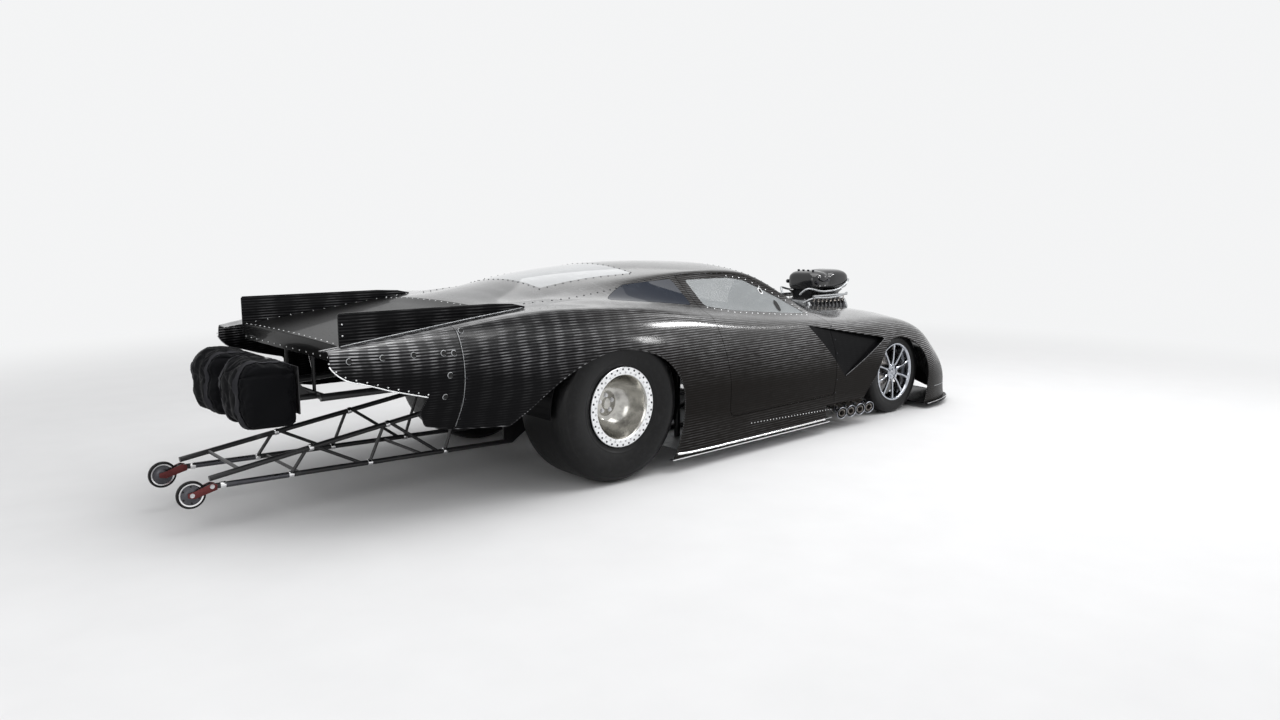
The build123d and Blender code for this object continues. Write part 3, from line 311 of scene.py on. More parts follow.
def carbon(name, sheen_level, rough=0.22, band=0.20, woven=True):
    """Bare carbon cloth under clear coat; its tows carry a painted sheen in the base colour, a painted sky reflection
    that is brighter where the panel looks up, most behind the doors.
    """
    colours = bpy.context.scene.coupe_colours
    graph = Graph(name, woven)
    run, rise, lift = graph.split(graph.along())
    rise = rise if woven else rise + lift
    up = graph.facing() if woven else lift * 0.0
    ahead = graph.remap(run, WEAVE_SHIFT[0] + car_x(-0.7), WEAVE_SHIFT[0] + car_x(0.7)) if woven else up
    drift = graph.noise(graph.along((3.0, 9.0, 1.0)), 2.0) - 0.5
    rows = ((rise + drift * 0.003) * (2 * math.pi / ROW_PITCH)).sine()
    lines = graph.remap(rows, -0.1, 0.95)
    dashes = graph.remap(graph.noise(graph.along((14.0, 62.0, 1.0)), 3.0, 0.6), 0.28, 0.62, 0.30, 1.0)
    bands = graph.remap(((run + drift * 0.05) * (2 * math.pi / band)).sine(), -0.5, 1.0, 0.28, 1.0)
    bands = bands + (1.0 - bands) * ahead * 0.8
    patches = graph.remap(graph.noise(graph.along((1.1, 2.4, 1.0)), 2.0), 0.30, 0.68, 0.30, 1.0)
    fine = graph.remap(graph.noise(graph.along((9.0, 420.0, 1.0)), 4.0, 0.7), 0.35, 0.75)
    tow = 2 * math.pi / TWILL_PITCH
    twill = ((run + rise) * tow).sine() * ((run - rise) * tow).sine()
    pillar = graph.remap(graph.split(graph.place())[2], PILLAR_FOOT, PILLAR_HEAD)
    coat = graph.remap(up, 0.22, 0.72, 0.03, 1.0)
    coat = coat + (graph.remap(up, 0.80, 0.97, 0.02, 1.0) - coat) * pillar
    # Painted sky reflection: the tows' painted sheen grows where the panel looks up and is weaker on the pillars above
    # the belt
    sky = graph.remap(up, -0.06, 0.36, 0.05, 1.0) * (1.0 - pillar * 0.45)
    # Painted sheen: the weave's rows, dashes and bands in the pale sheen colour, weaker and more even round the doors
    light = ((lines * dashes * bands * patches * (1.0 - ahead * 0.62) * sheen_level + fine * 0.05) * sky).at_most(1.0)
    dark = graph.mix(ahead, colours.carbon_dark, colours.carbon_brown)
    colour = graph.mix(light, dark, colours.painted_tow_sheen)
    height = lines * 0.6 + twill * 0.25 + fine * 0.3
    smear = graph.noise(graph.place((2.2, 2.2, 5.0)), 4.0)
    return graph.finish(Base_Color=colour, Roughness=graph.remap(smear, 0.3, 0.8, rough * 0.8, rough * 1.7),
                        Normal=graph.bump(height, 0.10, 0.0006), Coat_Weight=coat,
                        Coat_Roughness=0.11, Coat_IOR=1.9, Specular_IOR_Level=0.02)


def gloss(name, colour, rough, coat, level):
    """Glossy lacquer with faint ripples and dust."""
    graph = Graph(name)
    ripple = graph.noise(graph.place((6, 6, 6)), 2.0)
    dust = graph.remap(graph.noise(graph.place((60, 60, 60)), 5.0, 0.7), 0.55, 0.8)
    paler = [min(1.0, c * 1.6 + 0.012) for c in colour]
    return graph.finish(Base_Color=graph.mix(dust * 0.5, colour, paler),
                        Roughness=graph.remap(dust, 0.0, 1.0, rough, rough * 2.4),
                        Normal=graph.bump(ripple, 0.05, 0.004), Coat_Weight=coat, Coat_Roughness=0.05,
                        Specular_IOR_Level=level)


def metal(name, colour, rough, grain=(60, 60, 60), dirt_and_reflection_depth=0.25):
    """Bare metal with fine grain, fingermarks and darker dirt; on the polished dish the darker patches are painted
    reflections of dark surroundings as well as dirt.
    """
    graph = Graph(name)
    fine = graph.noise(graph.place(grain), 4.0, 0.65)
    marks = graph.noise(graph.place((14, 14, 14)), 3.0)
    # Darker patches: dirt, and on the polished dish painted reflections of dark surroundings
    dirt_and_dark_reflection = graph.remap(marks, 0.45, 0.75)
    dark = [c * (1.0 - dirt_and_reflection_depth) for c in colour]
    return graph.finish(Base_Color=graph.mix(dirt_and_dark_reflection, colour, dark), Metallic=1.0,
                        Roughness=(graph.remap(fine, 0.25, 0.75, rough * 0.75, rough * 1.35)
                                   + dirt_and_dark_reflection * (rough * 0.3)).at_most(0.95),
                        Normal=graph.bump(fine, 0.06, 0.0005))


def paint(name, colour, rough=0.35):
    """Powder-coated tube with an orange-peel surface and rubbed spots."""
    graph = Graph(name)
    peel = graph.noise(graph.place((220, 220, 220)), 2.0)
    rub = graph.remap(graph.noise(graph.place((9, 9, 9)), 5.0, 0.7), 0.58, 0.75)
    worn = [c * 0.5 + 0.12 for c in colour]
    return graph.finish(Base_Color=graph.mix(rub * 0.6, colour, worn),
                        Roughness=graph.remap(rub, 0.0, 1.0, rough, rough * 1.5),
                        Normal=graph.bump(peel, 0.08, 0.0004))


def tyre_rubber(name, axle):
    """Slick rubber: scuffed tread, smooth dark sidewall with fine moulded rings."""
    graph = Graph(name)
    point = graph.node("ShaderNodeTexCoord", output="Object")
    moved = graph.node("ShaderNodeVectorMath", {"operation": "SUBTRACT"}, {0: point, 1: axle})
    x, _, z = graph.split(moved)
    radius = (x * x + z * z) ** 0.5
    scuff = graph.noise(graph.place((30, 90, 30)), 6.0, 0.75)
    rings = (radius * (2 * math.pi / MOULD_PITCH)).sine()
    dusty = graph.remap(scuff, 0.42, 0.72)
    base = bpy.context.scene.coupe_colours.rubber
    grey = [c * 2.4 + 0.008 for c in base]
    return graph.finish(Base_Color=graph.mix(dusty * 0.45, base, grey),
                        Roughness=graph.remap(scuff, 0.3, 0.7, 0.30, 0.50), Specular_IOR_Level=0.22,
                        Normal=graph.bump(rings * 0.3 + scuff, 0.12, 0.0008))


def cloth(name, colour, scale=900.0):
    """Woven nylon with a plain weave, lint and soft patches, paler where they stand higher."""
    graph = Graph(name)
    x, y, z = graph.split(graph.place())
    threads = ((x + y * 0.6) * scale).sine() * (z * scale).sine()
    lint = graph.remap(graph.noise(graph.place((220, 220, 220)), 4.0, 0.7), 0.56, 0.72)
    soft = graph.noise(graph.place((7, 7, 7)), 3.0)
    paler = [c * 2.2 + 0.0012 for c in colour]
    return graph.finish(Base_Color=graph.mix((soft * 0.8 + lint * 0.4).at_most(1.0), colour, paler),
                        Roughness=graph.remap(soft, 0.3, 0.8, 0.55, 0.85),
                        Normal=graph.bump(threads * 0.4 + soft, 0.25, 0.0012), Sheen_Weight=0.015,
                        Sheen_Roughness=0.45, Specular_IOR_Level=0.08)


def glass(name, tint, clear, coat=0.3, level=0.5):
    """Thin clear or dark sheet; it turns opaque and mirror-like towards grazing."""
    graph = Graph(name)
    facing = graph.node("ShaderNodeLayerWeight", {}, {"Blend": 0.28}, output="Fresnel")
    haze = graph.remap(graph.noise(graph.place((11, 11, 24)), 5.0, 0.7), 0.45, 0.8)
    cover = ((1.0 - clear) + facing * 0.75 + haze * 0.05 * clear).at_most(1.0)
    graph.material.surface_render_method = "DITHERED"
    return graph.finish(Base_Color=graph.mix(haze * 0.5, tint, [c * 1.3 + 0.02 for c in tint]), Alpha=cover,
                        Roughness=graph.remap(haze, 0.0, 1.0, 0.03, 0.09), Coat_Weight=coat,
                        Specular_IOR_Level=level)


# Meshes


def set_weave(mesh, weave):
    """Stores two lengths along the surface and how far it looks up; loose pieces get one upward look."""
    attribute = mesh.attributes.new("weave", "FLOAT_VECTOR", "POINT")
    flat = np.full((len(mesh.vertices), 3), LOOSE_FACING, np.float32)
    flat[:, :weave.shape[1]] = weave
    attribute.data.foreach_set("vector", flat.ravel())


def plain_weave(points):
    """Lengths along the car and up its side, for pieces that aren't cut from the skin."""
    return np.stack([points[:, 0], points[:, 2] + np.abs(points[:, 1])], 1)


def mesh_object(name, points, faces, material, weave=None, sharp=35.0):
    """An object from arrays; weave has two lengths for each point and how far the surface looks up there."""
    used = sorted({i for face in faces for i in face})
    renumber = {old: new for new, old in enumerate(used)}
    mesh = bpy.data.meshes.new(name)
    kept = np.asarray(points, float)[used]
    mesh.from_pydata(kept[:, :3].tolist(), [], [tuple(renumber[i] for i in face) for face in faces])
    mesh.materials.append(material)
    set_weave(mesh, plain_weave(kept) if weave is None else np.asarray(weave)[used])
    shade(mesh, sharp)
    return in_scene(name, mesh)


def in_scene(name, data):
    """An object in the scene, made of its data."""
    thing = bpy.data.objects.new(name, data)
    bpy.context.scene.collection.objects.link(thing)
    return thing


def shade(mesh, sharp):
    """Smooth shading with sharp edges above an angle in degrees; at 180 there are none."""
    mesh.polygons.foreach_set("use_smooth", [True] * len(mesh.polygons))
    if sharp < 180.0:
        mesh.set_sharp_from_angle(angle=math.radians(sharp))
    mesh.update()


def apply_all(thing):
    """The object's modifiers made part of its mesh."""
    bpy.context.view_layer.update()
    graph = bpy.context.evaluated_depsgraph_get()
    mesh = bpy.data.meshes.new_from_object(thing.evaluated_get(graph), preserve_all_data_layers=True,
                                           depsgraph=graph)
    old = thing.data
    thing.modifiers.clear()
    thing.data = mesh
    if isinstance(old, bpy.types.Mesh):
        bpy.data.meshes.remove(old)
    return thing


def thicken(thing, wall):
    """Gives a sheet its wall, inwards."""
    modifier = thing.modifiers.new("wall", "SOLIDIFY")
    modifier.thickness = wall
    modifier.offset = -1.0
    modifier.use_even_offset = False
    apply_all(thing)
    shade(thing.data, 35.0)
    return thing


def fit(thing, body, slot, *nodes):
    """Hangs a finished piece on its body and hides the nodes it stands for; the slot, its finish's name, is not used.
    """
    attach(thing, body)
    if nodes:
        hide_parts(*nodes)
    return thing


def grid_faces(rows, columns, closed=False):
    """Quads of a grid of points stored row by row."""
    last = columns if closed else columns - 1
    faces = []
    for row in range(rows - 1):
        for column in range(last):
            nxt = (column + 1) % columns
            faces.append((row * columns + column, row * columns + nxt,
                          (row + 1) * columns + nxt, (row + 1) * columns + column))
    return faces


def capped_faces(rings, sides):
    """Faces of rings of points stored one after another, closed at both ends."""
    last = (rings - 1) * sides
    return grid_faces(rings, sides, True) + [tuple(range(sides)), tuple(range(last, last + sides))]


def turns(count):
    """Angles evenly round a circle."""
    return np.linspace(0, 2 * math.pi, count, endpoint=False)


def lathe(profile, centre, side, steps, closed=False):
    """Points and quads turned about a crosswise axis; rows are radius and distance from the car's middle."""
    rows = np.array(profile, float)
    rows = np.concatenate([rows, rows[:1]]) if closed else rows
    points = [(centre[0] + radius * math.sin(angle), side * out, centre[2] + radius * math.cos(angle))
              for angle in turns(steps) for radius, out in rows]
    count = len(rows)
    faces = []
    for step in range(steps):
        nxt = (step + 1) % steps
        for row in range(count - 1):
            quad = (step * count + row, step * count + row + 1, nxt * count + row + 1, nxt * count + row)
            faces.append(quad if side > 0 else quad[::-1])
    return points, faces


def merge(*parts):
    """Several point and face lists as one."""
    points, faces = [], []
    for more_points, more_faces in parts:
        shift = len(points)
        points.extend(more_points)
        faces.extend(tuple(i + shift for i in face) for face in more_faces)
    return points, faces


def clean(thing):
    """Merges doubled points and turns the faces outwards."""
    work = bmesh.new()
    work.from_mesh(thing.data)
    bmesh.ops.remove_doubles(work, verts=work.verts, dist=DOUBLED)
    bmesh.ops.recalc_face_normals(work, faces=work.faces)
    work.to_mesh(thing.data)
    work.free()
    return thing


def tube_mesh(route, radius, sides=16, smooth=True):
    """Points and quads of a round tube along a route, rounded at its corners, closed at its ends."""
    curve = bpy.data.curves.new("route", "CURVE")
    curve.dimensions = "3D"
    curve.resolution_u = 8 if smooth else 1
    kind = "NURBS" if smooth and len(route) > 2 else "POLY"
    spline = curve.splines.new(kind)
    spline.points.add(len(route) - 1)
    for point, place in zip(spline.points, route):
        point.co = (*place, 1.0)
    if kind == "NURBS":
        spline.order_u = 3
        spline.use_endpoint_u = True
    curve.bevel_depth = radius
    curve.bevel_resolution = max(1, sides // 4 - 1)
    curve.use_fill_caps = True
    thing = in_scene("route", curve)
    bpy.context.view_layer.update()
    mesh = bpy.data.meshes.new_from_object(thing.evaluated_get(bpy.context.evaluated_depsgraph_get()))
    points = [tuple(v.co) for v in mesh.vertices]
    faces = [tuple(p.vertices) for p in mesh.polygons]
    bpy.data.objects.remove(thing)
    bpy.data.curves.remove(curve)
    bpy.data.meshes.remove(mesh)
    return points, faces


def metres(rows):
    """Table rows in millimetres, as metres."""
    return [tuple(value * MM for value in row) for row in rows]


def run_of(side, *spots):
    """Spots given by length from the rear axle, width and height, on one side of the car."""
    return [(car_x(x), side * y, z) for x, y, z in spots]


def aimed(x, y, z, *out):
    """A spot for a small part, by its length from the rear axle, with its outward direction."""
    return Vector((car_x(x), y, z)), Vector(out)


def box_mesh(low, high):
    """Points and quads of a block between two corners."""
    points = [(x, y, z) for x in (low[0], high[0]) for y in (low[1], high[1]) for z in (low[2], high[2])]
    faces = [(0, 1, 3, 2), (4, 6, 7, 5), (0, 4, 5, 1), (2, 3, 7, 6), (0, 2, 6, 4), (1, 5, 7, 3)]
    return points, faces


def prism_mesh(outline, start, end, cross=False):
    """Points and faces of a prism over an outline, drawn from the side or, with cross, from the front."""
    count = len(outline)
    points = [(depth, first, second) if cross else (first, depth, second)
              for depth in (start, end) for first, second in outline]
    faces = [tuple(range(count)), tuple(range(2 * count - 1, count - 1, -1))]
    for i in range(count):
        j = (i + 1) % count
        faces.append((i, i + count, j + count, j))
    return points, faces


def piece(name, parts, finish, slot="bright_alloy", body="chassis", nodes=(), bevel=0.0, sharp=35.0, segments=2):
    """A finished object from one or more point and face lists."""
    thing = clean(mesh_object(name, *merge(*parts), finishes()[finish]))
    if bevel:
        edge = thing.modifiers.new("edge", "BEVEL")
        edge.width = bevel
        edge.segments = segments
        edge.limit_method = "ANGLE"
        edge.angle_limit = math.radians(40)
        apply_all(thing)
    if thing.data.attributes.get("weave"):
        thing.data.attributes.remove(thing.data.attributes["weave"])
    set_weave(thing.data, plain_weave(np.array([v.co for v in thing.data.vertices])))
    shade(thing.data, sharp)
    return fit(thing, body, slot, *nodes)


# The body's surface


def natural_line(knots, values, places):
    """Smooth curve through the values at the knots, read at the places."""
    count = len(knots)
    gap = np.diff(knots)
    matrix = np.zeros((count, count))
    right = np.zeros((count, values.shape[1]))
    matrix[0, 0] = matrix[-1, -1] = 1.0
    for i in range(1, count - 1):
        matrix[i, i - 1:i + 2] = gap[i - 1], 2 * (gap[i - 1] + gap[i]), gap[i]
        right[i] = 6 * ((values[i + 1] - values[i]) / gap[i] - (values[i] - values[i - 1]) / gap[i - 1])
    bend = np.linalg.solve(matrix, right)
    cell = np.clip(np.searchsorted(knots, places) - 1, 0, count - 2)
    left = (places - knots[cell])[:, None]
    rest = (knots[cell + 1] - places)[:, None]
    width = gap[cell][:, None]
    return (bend[cell] * rest ** 3 / (6 * width) + bend[cell + 1] * left ** 3 / (6 * width)
            + (values[cell] / width - bend[cell] * width / 6) * rest
            + (values[cell + 1] / width - bend[cell + 1] * width / 6) * left)


def straight(first, last, count):
    """Evenly spaced points of the line from first to last."""
    share = np.linspace(0, 1, count)[:, None]
    return np.array(first) * (1 - share) + np.array(last) * share


def arc_through(first, middle, last, count):
    """Evenly spaced points of the arc from first to last by way of middle."""
    ax, ay = first
    bx, by = middle
    cx, cy = last
    twice = 2 * (ax * (by - cy) + bx * (cy - ay) + cx * (ay - by))
    if abs(twice) < 1e-9:
        return straight(first, last, count)
    a2, b2, c2 = ax * ax + ay * ay, bx * bx + by * by, cx * cx + cy * cy
    ux = (a2 * (by - cy) + b2 * (cy - ay) + c2 * (ay - by)) / twice
    uy = (a2 * (cx - bx) + b2 * (ax - cx) + c2 * (bx - ax)) / twice
    radius = math.hypot(ax - ux, ay - uy)
    angles = [math.atan2(y - uy, x - ux) for x, y in (first, middle, last)]
    turn = (angles[2] - angles[0]) % (2 * math.pi)
    if (angles[1] - angles[0]) % (2 * math.pi) > turn:
        turn -= 2 * math.pi
    spread = angles[0] + np.linspace(0, 1, count) * turn
    return np.stack([ux + radius * np.cos(spread), uy + radius * np.sin(spread)], 1)


def top_height(width, belt, middle):
    """Height at a width of the shallow arc over the belt points."""
    half, edge = belt
    rise = middle - edge
    radius = (half * half + rise * rise) / (2 * rise)
    return middle - radius + np.sqrt(np.maximum(radius * radius - width * width, 0))


SIDE_ROWS = (5, 20, 8)
TOP_ROWS = 44
BLEND = 0.012


def half_section(lower, roof):
    """Half outline at one station, from the rocker's edge up and over to the middle."""
    bottom, crease, wide, shoulder, belt = [lower[i:i + 2] for i in range(0, 10, 2)]
    middle = lower[10]
    rising = np.concatenate([straight(bottom, crease, SIDE_ROWS[0])[:-1],
                             arc_through(crease, wide, shoulder, SIDE_ROWS[1])[:-1],
                             straight(shoulder, belt, SIDE_ROWS[2])[:-1]])
    widths = belt[0] * np.linspace(1, 0, TOP_ROWS)
    heights = top_height(widths, belt, middle)
    if roof is not None:
        base_w, base_z, gutter_w, gutter_z, peak = roof
        slope = (gutter_z - base_z) / (base_w - gutter_w)
        flank = gutter_z - (widths - gutter_w) * slope
        crown = top_height(np.minimum(widths, gutter_w), (gutter_w, gutter_z), max(peak, gutter_z + 0.002))
        cover = np.where(widths > gutter_w, flank, crown)
        blend = np.clip(0.5 + (cover - heights) / (4 * BLEND), 0, 1)
        heights = heights * (1 - blend) + cover * blend + 2 * BLEND * blend * (1 - blend)
    outline = np.concatenate([rising, np.stack([widths, heights], 1)])
    return soften(outline, 3)


def soften(outline, rounds):
    """Rounds an outline's corners; its ends stay."""
    for _ in range(rounds):
        inner = 0.25 * outline[:-2] + 0.5 * outline[1:-1] + 0.25 * outline[2:]
        outline = np.concatenate([outline[:1], inner, outline[-1:]])
        outline[-1] = (0.0, outline[-2, 1] * 0.75 + outline[-1, 1] * 0.25)
    return outline


class Skin:
    """The body's outer surface as a grid of points; weave is two lengths and how far it looks up."""

    def __init__(self):
        lower = from_axle(BODY_SECTIONS)
        roof = from_axle(ROOF_SECTIONS)
        start, end = lower[0, 0], lower[-1, 0]
        count = int(round((end - start) / PANEL_STEP)) + 1
        self.x = np.linspace(start, end, count)
        sections = natural_line(lower[:, 0], lower[:, 1:], self.x)
        covers = natural_line(roof[:, 0], roof[:, 1:], np.clip(self.x, roof[0, 0], roof[-1, 0]))
        rows = []
        for x, section, cover in zip(self.x, sections, covers):
            inside = roof[0, 0] < x < roof[-1, 0]
            rows.append(half_section(section, cover if inside else None))
        self.halves = np.array(rows)
        points, weave = [], []
        for x, half in zip(self.x, self.halves):
            outline = np.concatenate([half, half[-2::-1] * (-1, 1)])
            run = np.concatenate([[0], np.cumsum(np.hypot(*np.diff(half, axis=0).T))])
            run = run - np.interp(0.55, np.maximum.accumulate(half[:, 1]), run)
            around = np.concatenate([run, run[-2::-1]])
            points.append(np.column_stack([np.full(len(outline), x), outline]))
            weave.append(np.column_stack([np.full(len(outline), x), around]))
        nose, nose_weave = self._nose(points[-1], weave[-1])
        points.extend(nose)
        weave.extend(nose_weave)
        self.columns = len(points[0])
        self.rows = len(points)
        self.points = np.concatenate(points)
        grid = self.points.reshape(self.rows, self.columns, 3)
        out = -np.cross(np.gradient(grid, axis=0), np.gradient(grid, axis=1)).reshape(-1, 3)
        up = out[:, 2] / np.maximum(np.linalg.norm(out, axis=1), 1e-9)
        self.weave = np.column_stack([np.concatenate(weave), up])
        self.faces = grid_faces(self.rows, self.columns)

    def _nose(self, last, weave):
        """Rounds the nose off into a closed front."""
        reach, steps = 0.020, 6
        centre = np.array([0.0, last[:, 2].mean()])
        rows, weaves = [], []
        for step in range(1, steps + 1):
            angle = 0.5 * math.pi * step / steps
            row = last.copy()
            row[:, 0] += reach * math.sin(angle)
            inward = centre - row[:, 1:]
            span = np.maximum(np.linalg.norm(inward, axis=1, keepdims=True), 1e-6)
            row[:, 1:] += inward / span * np.minimum(reach * 1.4 * (1 - math.cos(angle)), span)
            rows.append(row)
            weaves.append(weave + (reach * math.sin(angle), 0))
        for share in (0.35, 0.7, 0.98):
            row = rows[steps - 1].copy()
            row[:, 1:] = row[:, 1:] * (1 - share) + centre * share
            rows.append(row)
            weaves.append(weave + (reach, 0))
        return rows, weaves

    def section(self, x):
        """The half outline at one place along the car."""
        spot = np.clip((x - self.x[0]) / (self.x[-1] - self.x[0]) * (len(self.x) - 1), 0, len(self.x) - 1.001)
        low = int(spot)
        share = spot - low
        return self.halves[low] * (1 - share) + self.halves[low + 1] * share

    def _crossing(self, x, level, fixed):
        """Where the half outline at x crosses a width (fixed 0) or height (fixed 1), farthest out, and its normal."""
        half = self.section(x)
        found = None
        for first, second in zip(half[:-1], half[1:]):
            low, high = first[fixed], second[fixed]
            if min(low, high) <= level <= max(low, high) and abs(high - low) > 1e-9:
                reach = first[1 - fixed] + (second - first)[1 - fixed] * (level - low) / (high - low)
                if found is None or reach > found[0]:
                    found = (reach, second[1] - first[1], first[0] - second[0])
        return found or (half[:, 1 - fixed].max(), float(fixed), 1.0 - fixed)

    def side_point(self, x, z, side, proud=0.0):
        """The outermost point of the body at a length and height, with the outward direction."""
        y, across, rise = self._crossing(x, z, 1)
        out = Vector((0, side * across, rise)).normalized()
        return Vector((x, side * y, z)) + out * proud, out

    def top_point(self, x, y, proud=0.0):
        """The highest point of the body at a length and width, with the outward direction."""
        z, across, rise = self._crossing(x, abs(y), 0)
        out = Vector((0, across if y >= 0 else -across, rise)).normalized()
        if out.z < 0:
            out = -out
        return Vector((x, y, z)) + out * proud, out


def rounded(points, radius, steps=5):
    """An outline with its corners replaced by short curves."""
    outline = np.array(points, float)
    result = []
    for i, corner in enumerate(outline):
        before, after = outline[i - 1] - corner, outline[(i + 1) % len(outline)] - corner
        first = corner + before * min(0.45, radius / max(np.linalg.norm(before), 1e-9))
        last = corner + after * min(0.45, radius / max(np.linalg.norm(after), 1e-9))
        for share in np.linspace(0, 1, steps):
            result.append((1 - share) ** 2 * first + 2 * share * (1 - share) * corner + share ** 2 * last)
    return np.array(result)


def inside_by(points, outline):
    """Signed distance of flat points to an outline, below zero inside."""
    start = outline
    end = np.roll(outline, -1, axis=0)
    nearest = np.full(len(points), 1e9)
    inside = np.zeros(len(points), bool)
    for (ax, ay), (bx, by) in zip(start, end):
        edge = np.array([bx - ax, by - ay])
        to_point = points - (ax, ay)
        share = np.clip(to_point @ edge / max(edge @ edge, 1e-12), 0, 1)
        nearest = np.minimum(nearest, np.linalg.norm(to_point - share[:, None] * edge, axis=1))
        crosses = (ay > points[:, 1]) != (by > points[:, 1])
        with np.errstate(divide="ignore", invalid="ignore"):
            at = ax + (points[:, 1] - ay) * (bx - ax) / (by - ay)
        inside ^= crosses & (points[:, 0] < at)
    return np.where(inside, -nearest, nearest)


class Panel:
    """Part of the skin, cut step by step along the zero lines of distances."""

    def __init__(self, skin, first=None, last=None):
        self.sunk = 0
        self.points = np.column_stack([skin.points, skin.weave])
        low = 0 if first is None else max(0, int((first - skin.x[0]) / PANEL_STEP) - 2)
        high = skin.rows if last is None else min(skin.rows, int((last - skin.x[0]) / PANEL_STEP) + 4)
        width = skin.columns - 1
        self.faces = skin.faces[low * width:(high - 1) * width]

    def keep(self, distance):
        """Keeps what lies where the distance, worked out from the points, is below zero."""
        value = distance(self.points[:, :3])
        below = value <= 0
        added, cache, kept = [], {}, []
        total = len(self.points)
        for face in self.faces:
            flags = [below[i] for i in face]
            if all(flags):
                kept.append(face)
                continue
            if not any(flags):
                continue
            ring = []
            for a, b in zip(face, face[1:] + face[:1]):
                if below[a]:
                    ring.append(a)
                if below[a] != below[b]:
                    key = (min(a, b), max(a, b))
                    if key not in cache:
                        share = value[key[0]] / (value[key[0]] - value[key[1]])
                        cache[key] = total + len(added)
                        added.append(self.points[key[0]] * (1 - share) + self.points[key[1]] * share)
                    ring.append(cache[key])
            if len(ring) > 2:
                kept.append(tuple(ring))
        if added:
            self.points = np.concatenate([self.points, np.array(added)])
        self.faces = kept
        return self

    def drop(self, distance):
        return self.keep(lambda points: -distance(points))

    def sink(self, distance, depth):
        """Presses the part inside a distance inwards by a depth, with a step along its edge."""
        outer, inner = self.twin().drop(distance), self.twin().keep(distance)
        edge = np.abs(distance(inner.points[:, :3])) < 1e-6
        low = inner.points.copy()
        low[:, 1] -= np.sign(low[:, 1]) * depth(low)
        count = len(outer.points)
        self.points = np.concatenate([outer.points, low, inner.points])
        faces = [tuple(i + count for i in face) for face in inner.faces]
        for face in inner.faces:
            for a, b in zip(face, face[1:] + face[:1]):
                if edge[a] and edge[b]:
                    faces.append((b + count, a + count, a + count + len(low), b + count + len(low)))
        self.sunk = len(outer.faces)
        self.faces = outer.faces + faces
        return self

    def twin(self):
        """The same part again, to be cut on its own."""
        other = Panel.__new__(Panel)
        other.points, other.faces = self.points, list(self.faces)
        return other

    def make(self, name, finish, wall=PANEL_WALL, sunk_finish=None):
        """The panel as a sheet with its wall; its sunk part may have a finish of its own."""
        thing = mesh_object(name, self.points[:, :3], self.faces, finishes()[finish], self.points[:, 3:6], 180.0)
        if sunk_finish:
            thing.data.materials.append(finishes()[sunk_finish])
            for polygon in thing.data.polygons[self.sunk:]:
                polygon.material_index = 1
        work = bmesh.new()
        work.from_mesh(thing.data)
        bmesh.ops.remove_doubles(work, verts=work.verts, dist=0.00002)
        bmesh.ops.dissolve_degenerate(work, edges=work.edges, dist=0.00001)
        work.to_mesh(thing.data)
        work.free()
        return thicken(thing, wall)


def side_region(outline, side=0, grow=0.0, radius=0.02):
    """Distance to a side-view outline, on one side of the car or, with side 0, on both."""
    shape = rounded(from_axle(outline), radius)

    def distance(points):
        value = inside_by(points[:, [0, 2]], shape) - grow
        return np.maximum(value, -side * points[:, 1]) if side else value
    return distance


def plan_region(outline, grow=0.0, radius=0.02, above=0.6):
    """Distance to a plan-view outline, above a height."""
    shape = rounded(from_axle(outline), radius)

    def distance(points):
        return np.maximum(inside_by(points[:, :2], shape) - grow, above - points[:, 2])
    return distance


def behind(x):
    """Distance to everything behind a place along the car."""
    return lambda points: points[:, 0] - x


def all_of(*distances):
    return lambda points: np.max([distance(points) for distance in distances], axis=0)


def any_of(*distances):
    return lambda points: np.min([distance(points) for distance in distances], axis=0)


def arc_run(*stretches):
    """An outline of straight points and arcs; a stretch of three points is an arc."""
    result = []
    for stretch in stretches:
        if len(stretch) == 3:
            result.extend(arc_through(*stretch, 16).tolist())
        else:
            result.extend(stretch)
    return [point for i, point in enumerate(result) if i == 0 or math.dist(point, result[i - 1]) > 1]


REAR_ARCH = arc_run(
    [(360, -10), (360, 95)], [(360, 95), (450, 330), (428, 530)], [(428, 530), (330, 670), (170, 752)],
    [(170, 752), (-10, 785), (-190, 772)], [(-190, 772), (-420, 690), (-640, 545)],
    [(-760, 450), (-1060, 465)], [(-1190, 490), (-1240, 575)], [(-1220, 655), (-1390, 700)],
    [(-1520, 745), (-1600, 775), (-1655, 845)], [(-1700, 845), (-1700, -10)])
FRONT_ARCH = arc_run(
    [(1900, 205), (2380, 200)], [(2460, 286), (2520, 360)], [(2520, 360), (2560, 440), (2610, 505)],
    [(2610, 505), (2700, 590), (2840, 619)], [(2840, 619), (3050, 570), (3200, 466)],
    [(3200, 466), (3272, 270), (3225, 44)], [(3225, -10), (1900, -10)])
TAIL_EDGE = arc_run([(-1650, 832), (-1600, 775), (-1520, 745)], [(-1390, 700), (-1220, 655)])
VENT = [(1744, 785), (2662, 628), (2108, 394)]
HOOD_HOLE = [(2595, 250), (3355, 250), (3355, -250), (2595, -250)]
DECK_PLAN = [(DECK_FRONT / MM, DECK_SIDE), (DECK_FRONT / MM, -DECK_SIDE), (-1800, -DECK_SIDE), (-1800, DECK_SIDE)]


def vent_depth(points):
    """How far the fender's hollow is pressed in: nothing along its rear edge, most at its front corner."""
    (ax, az), (bx, bz), (cx, cz) = from_axle([(x, z) for x, z in VENT])
    across = (points[:, 0] - ax) * (cz - az) - (points[:, 2] - az) * (cx - ax)
    whole = (bx - ax) * (cz - az) - (bz - az) * (cx - ax)
    return VENT_DEPTH * np.clip(across / whole, 0, 1) ** 0.8


# Repeats, made by one node tree


